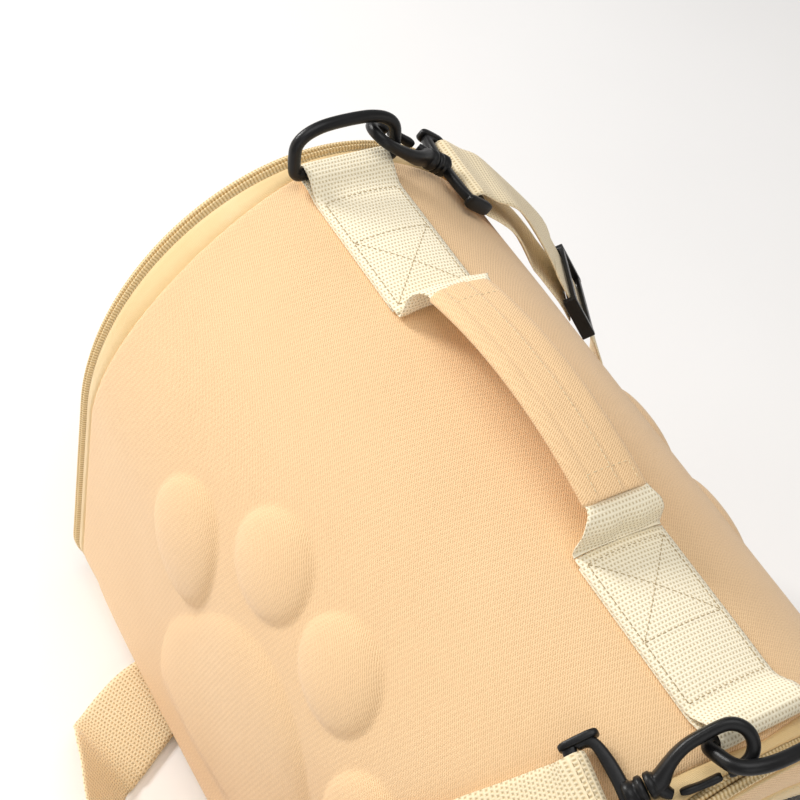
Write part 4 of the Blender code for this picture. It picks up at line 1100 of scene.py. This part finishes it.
for side, word in SIDES:
    place = HOOK_FRAME[word]
    outer = loop_outline((-0.0032, 0.0296), -0.0034, [
        (0.0020, 0.0308), (0.0085, 0.0306), (0.0130, 0.0270), (0.0156, 0.0180), (0.0168, 0.0080)], 0.0170)
    inner = loop_outline((0.0028, 0.0258), 0.0028, [
        (0.0040, 0.0263), (0.0070, 0.0262), (0.0088, 0.0240), (0.0098, 0.0160), (0.0104, 0.0070)], 0.0104)
    rows = []
    for o, q in zip(spline(outer, 5, closed=True), spline(inner, 5, closed=True)):
        mid, half = (o + q) / 2, (o - q) / 2
        rows.append(section((mid[0], mid[1], 0.0), (half[0], half[1], 0.0), (0.0, 0.0, 0.0028), 20, 3.6))
    parts = [ringed("frame_loop_" + word, rows, None, "black_plastic", True, place)]
    for s in (-1, 1):
        parts.append(block("end_plate_%d" % s, (0.0050, s * 0.0302, 0.0), (0.0094, 0.0021, 0.0042), place))
    parts.append(lathe("barrel_" + word, [
        (0.0128, 0.0040), (0.0132, 0.0056), (0.0142, 0.0063), (0.0170, 0.0063), (0.0176, 0.0053),
        (0.0190, 0.0052), (0.0196, 0.0062), (0.0214, 0.0062), (0.0222, 0.0054), (0.0225, 0.0040)], place))
    obj = joined("strap_frame_" + word, parts, "carrier")
    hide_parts("hook_frame_" + word)

    turned = place @ Matrix.Rotation(math.radians(HOOK_TURN[word]), 4, "X")
    path = [(0.0262, 0.0, 0.0050, 0.0050), (0.0280, 0.0001, 0.0046, 0.0050), (0.0300, 0.0010, 0.0043, 0.0050),
            (0.0345, 0.0042, 0.0033, 0.0048), (0.0400, 0.0070, 0.0029, 0.0044),
            (0.0465, 0.0088, 0.0028, 0.0037), (BOW_X - 0.006, BOW_R, 0.0028, 0.0031)]
    for k in range(9):
        t = math.radians(90.0 - 180.0 * k / 8)
        path.append((BOW_X + BOW_R * math.cos(t), BOW_R * math.sin(t),
                     0.0028 + 0.0002 * math.sin(math.pi * k / 8), 0.0030))
    path += [(BOW_X - 0.0040, -BOW_R, 0.0026, 0.0029), (BOW_X - 0.0060, -BOW_R, 0.0021, 0.0025)]
    flange = [(0.0229, 0.0040), (0.0231, 0.0054), (0.0238, 0.0061), (0.0258, 0.0061), (0.0265, 0.0053),
              (0.0275, 0.0047), (0.0282, 0.0036)]
    heel = [(0.0262, -0.0006, 0.0036, 0.0042), (0.0280, -0.0034, 0.0032, 0.0040),
            (0.0298, -0.0060, 0.0027, 0.0034), (0.0312, -0.0074, 0.0021, 0.0028)]
    parts = [bar("hook_bar_" + word, path, 5, None, turned, 22), lathe("flange_" + word, flange, turned),
             bar("hook_heel_" + word, heel, 4, None, turned, 18)]
    obj = joined("hook_moulded_" + word, parts, "hook_" + word)
    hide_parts("hook_body_" + word)

    a, b = (0.0342, -0.0081), (BOW_X - 0.0087, -BOW_R)
    sizes = ((0.0, 0.0010), (0.06, 0.0015), (0.2, 0.0018), (0.4, 0.0017), (0.6, 0.0017), (0.8, 0.0018),
             (0.94, 0.0017), (1.0, 0.0012))
    gate = [(a[0] + (b[0] - a[0]) * f, a[1] + (b[1] - a[1]) * f - 0.0005 * math.sin(math.pi * f), r, r * 1.5)
            for f, r in sizes]
    obj = bar("gate_moulded_" + word, gate, 4, "gate_" + word, turned, 16, 3.0)
    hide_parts("hook_gate_" + word)


# ------------------------------------------------------------ shoulder strap
def on_shell(x, degrees, proud, side):
    """Place over the crown at a turn from the ridge, standing proud of the shell."""
    t = math.radians(degrees)
    return (x, side * (ARCH_A + proud) * math.sin(t), CROWN_Z + (ARCH_B + proud) * math.cos(t))


SLIDE_FRAME = frame_matrix((-0.1410, 0.1550, TOP_Z - 0.1030), Vector((0.42, 0.45, -0.79)).normalized(),
                           (0.27, 0.737, 0.564))
WRAP_R = 0.0052


def local(place, x, y, z):
    """Place given in the axes of a fitting."""
    return tuple(place @ Vector((x, y, z)))


def local_y(place, sign=1.0):
    """The y axis of a fitting, or its reverse."""
    return tuple(place.to_3x3() @ Vector((0.0, sign, 0.0)))


def wrap(place, w, turn):
    """Half turn round the bar of a strap frame; turn 1 goes up it and -1 down."""
    angles = [math.radians(turn * (180.0 * k / 8 - 90.0)) for k in range(9)]
    return [(local(place, WRAP_R * math.cos(t), 0.0, WRAP_R * math.sin(t)), w) for t in angles]


far, near = HOOK_FRAME["far"], HOOK_FRAME["near"]
far_w, near_w, slide_w = local_y(far), local_y(near, -1.0), local_y(SLIDE_FRAME, -1.0)
under = ((0.002, -0.0062), (-0.012, -0.0063), (-0.030, -0.0085), (-0.048, -0.0110))
above = ((-0.0420, 0.0006), (-0.028, 0.0), (-0.014, 0.0), (0.0, 0.0), (0.014, 0.0), (0.028, 0.0))
route = [(local(SLIDE_FRAME, x, 0.0, z), slide_w) for x, z in under]
route += [((-0.1690, 0.1010, TOP_Z - 0.0430), far_w), (local(far, -0.0130, 0.0, -0.0049), far_w)]
route += wrap(far, far_w, 1)
route += [(local(far, -0.0110, 0.0, 0.0050), far_w), ((-0.1705, 0.1050, TOP_Z - 0.0310), far_w)]
route += [(local(SLIDE_FRAME, x, 0.0, z), slide_w) for x, z in above]
route += [
    ((-0.1200, 0.1770, 0.1650), (0.86, -0.42, 0.20)),
    ((-0.1160, 0.1815, 0.1300), (0.90, -0.35, 0.10)),
    ((-0.1170, 0.1820, 0.0920), (0.94, -0.25, 0.05)),
    ((-0.1210, 0.1790, 0.0560), (0.97, -0.10, 0.02)),
    ((-0.1270, 0.1690, 0.0250), (0.98, 0.05, 0.0)),
    ((-0.1320, 0.1520, 0.0095), (0.98, 0.13, 0.0)),
    ((-0.1375, 0.1290, 0.0043), (0.978, 0.18, 0.0)),
    ((-0.1425, 0.1080, 0.0034), (0.98, 0.19, 0.0)),
    ((-0.1330, 0.0560, 0.0032), (0.98, 0.19, 0.0)),
    ((-0.1225, 0.0000, 0.0032), (0.98, 0.19, 0.0)),
    ((-0.1130, -0.0500, 0.0032), (0.97, 0.22, 0.0)),
    ((-0.1070, -0.0850, 0.0036), (0.95, 0.30, -0.03)),
    ((-0.1010, -0.1080, 0.0046), (0.90, 0.40, -0.05)),
    ((-0.0940, -0.1270, 0.0076), (0.87, 0.43, -0.16)),
    ((-0.0845, -0.1440, 0.0096), (0.85, 0.45, -0.23)),
    ((-0.0745, -0.1590, 0.0106), (0.84, 0.44, -0.27)),
    ((-0.0680, -0.1675, 0.0138), (0.80, 0.40, -0.38)),
    ((-0.0590, -0.1740, 0.0200), (0.70, 0.30, -0.60)),
    ((-0.0440, -0.1805, 0.0245), (0.62, 0.24, -0.74)),
    ((-0.0200, -0.1895, 0.0285), (0.54, 0.22, -0.80)),
    ((0.0100, -0.1985, 0.0345), (0.42, 0.18, -0.88)),
    ((0.0400, -0.2045, 0.0420), (0.40, 0.16, -0.89)),
    ((0.0720, -0.2010, 0.0640), (0.60, 0.14, -0.78)),
    ((0.0980, -0.1890, 0.0950), (0.80, 0.06, -0.59)),
    ((0.1170, -0.1750, 0.1320), (0.90, -0.05, -0.42)),
    ((0.1320, -0.1590, 0.1700), (0.94, -0.12, -0.32)),
    (on_shell(0.1450, 74.0, 0.0135, -1), (0.94, -0.18, -0.30)),
    (on_shell(0.1530, 65.0, 0.0105, -1), (0.94, -0.20, -0.28)),
    (on_shell(0.1610, 56.0, 0.0078, -1), (0.94, -0.22, -0.26)),
    (on_shell(0.1690, 48.0, 0.0072, -1), (0.94, -0.25, -0.24)),
    (local(near, -0.0135, 0.0, 0.0048), near_w),
]
route += wrap(near, near_w, -1)
route += [
    (local(near, -0.0130, 0.0, -0.0046), near_w),
    (on_shell(0.1690, 48.5, 0.0036, -1), (0.94, -0.25, -0.24)),
    (on_shell(0.1620, 55.0, 0.0036, -1), (0.94, -0.22, -0.26)),
]
centres = spline([c for c, w in route], 6)
sideways = spline([w for c, w in route], 6)
stations = []
for i, (c, w) in enumerate(zip(centres, sideways)):
    t = Vector(centres[min(i + 1, len(centres) - 1)]) - Vector(centres[max(i - 1, 0)])
    t.normalize()
    w = Vector(w)
    w = (w - t * w.dot(t)).normalized()
    up = t.cross(w)
    stations.append((c, np.array(w), np.array(up), WEB_W / 2, (lambda v: 0.0003 * (1 - v * v))))
# the strap wears the darker copy of the webbing, a painted shade
strap = strip("shoulder_webbing", stations, STRAP_T / 2, "carrier", "strap_webbing", across=19)
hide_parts("shoulder_strap")
strap_run = lengths(centres)

sew = Stitches()


def sew_strap(start, stop, v0, v1, sign=1.0, count=20):
    """Run between two lengths along the strap and two places across it."""
    pts, ups = [], []
    for k in range(count + 1):
        s = start + (stop - start) * k / count
        v = v0 + (v1 - v0) * k / count
        i = min(int(np.searchsorted(strap_run, s)), len(stations) - 1)
        c, w, up, hw, _ = stations[i]
        pts.append(np.array(c) + w * (hw * v) + up * (sign * STRAP_T / 2 + 0.0002))
        ups.append(up * sign)
    sew.run(pts, ups, 0.0026, 0.0009, 0.00032)


wrap_at = strap_run[-1] - 0.0165 - 0.040
near_index = max(i for i, s in enumerate(strap_run) if s < wrap_at)
for back in (0.016, 0.019):
    s0 = strap_run[near_index] - back
    sew_strap(s0, s0 + 0.0001, -0.86, 0.86)
    sew_strap(s0, s0 + 0.0001, -0.86, 0.86, -1.0)
sew.make("stitches_strap", "carrier", "strap_webbing")


# ------------------------------------------------------------ mat inside, and the solids that stay
def build_mat():
    """Stuffed mat: a rounded pad blown up as cloth, then quilted with two sewn channels."""
    lo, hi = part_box("mat")
    mid = (lo + hi) / 2
    hx, hy, hz = (hi.x - lo.x) / 2 - 0.004, (hi.y - lo.y) / 2 - 0.004, (hi.z - lo.z) / 2 - 0.0025
    verts, faces = [], []
    nx, ny = 48, 26
    for layer in (1, -1):
        for i in range(nx + 1):
            for j in range(ny + 1):
                u, v = 2 * i / nx - 1, 2 * j / ny - 1
                k = (1 - abs(u) ** 8) ** 0.35 * (1 - abs(v) ** 8) ** 0.35 if max(abs(u), abs(v)) < 1 else 0.0
                verts.append((mid.x + hx * u * (1 - 0.012 * v * v), mid.y + hy * v * (1 - 0.02 * u * u),
                              mid.z + layer * hz * (0.18 + 0.82 * k)))
    row = ny + 1
    off = (nx + 1) * row
    for i in range(nx):
        for j in range(ny):
            a = i * row + j
            faces.append((a, a + row, a + row + 1, a + 1))
            faces.append((off + a, off + a + 1, off + a + row + 1, off + a + row))
    rim_ids = [j for j in range(ny)] + [i * row + ny for i in range(nx)]
    rim_ids += [nx * row + j for j in range(ny, 0, -1)] + [i * row for i in range(nx, 0, -1)]
    for a, b in zip(rim_ids, rim_ids[1:] + rim_ids[:1]):
        faces.append((a, b, off + b, off + a))
    obj = mesh_piece("mat_cushion", verts, faces, None, None, "mat_plush")
    rest = [v.co.copy() for v in obj.data.vertices]
    cloth = obj.modifiers.new("Cloth", "CLOTH")
    s = cloth.settings
    s.quality = 4
    s.use_pressure = True
    s.uniform_pressure_force = 3.0
    s.tension_stiffness = s.compression_stiffness = 18.0
    s.bending_stiffness = 1.0
    s.effector_weights.gravity = 0.0
    scene = bpy.context.scene
    scene.frame_start, scene.frame_end = 1, 16
    for f in range(1, 17):
        scene.frame_set(f)
    done = obj.evaluated_get(bpy.context.evaluated_depsgraph_get()).to_mesh()
    moved = [v.co.copy() for v in done.vertices]
    obj.modifiers.remove(cloth)
    for v, a, b in zip(obj.data.vertices, rest, moved):
        step = b - a
        if step.length > 0.003:
            step *= 0.003 / step.length
        v.co = a + step
    for v in obj.data.vertices:
        if v.co.z > mid.z:
            for line in (-0.062, 0.062):
                v.co.z -= 0.0030 * math.exp(-((v.co.x - line) / 0.0055) ** 2)
        v.co.z = min(max(v.co.z, lo.z), hi.z + 0.001)
        v.co.x = min(max(v.co.x, lo.x), hi.x)
        v.co.y = min(max(v.co.y, lo.y), hi.y)
    mod = obj.modifiers.new("Smooth", "SUBSURF")
    mod.levels = mod.render_levels = 1
    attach(obj, "carrier")
    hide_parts("mat")


build_mat()

KEPT = {"lining": "lining_fabric", "base_panel": "base_fabric", "base_board": "board",
        "grip_core": "lining_fabric", "strap_slide": "black_plastic"}
for side, word in SIDES:
    KEPT["door_hinge_strip_" + word] = "hinge_satin"
    KEPT["zip_slider_" + word] = "zip_metal"
    KEPT["zip_pull_" + word] = "zip_metal"
for node, mat in KEPT.items():
    for slot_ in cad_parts[node].material_slots:
        slot_.material = M[mat]


# ------------------------------------------------------------ floor
def floor_material():
    """Matt paper with a faint unevenness."""
    p = Paint("floor_paper", 0.9, specular=0.1)
    p.colour(p.ramp(p.noise(3.0, 3.0), [(0.3, (0.90, 0.895, 0.89)), (0.7, (0.93, 0.925, 0.92))]))
    p.bump(p.noise(260.0, 3.0), 0.0001, 0.4)
    return p.mat


verts = [(x, y, 0.0) for x in (-6, 6) for y in (-6, 6)]
mesh = bpy.data.meshes.new("floor")
mesh.from_pydata(verts, [], [(0, 2, 3, 1)])
mesh.materials.append(floor_material())
floor = bpy.data.objects.new("floor", mesh)
bpy.context.scene.collection.objects.link(floor)
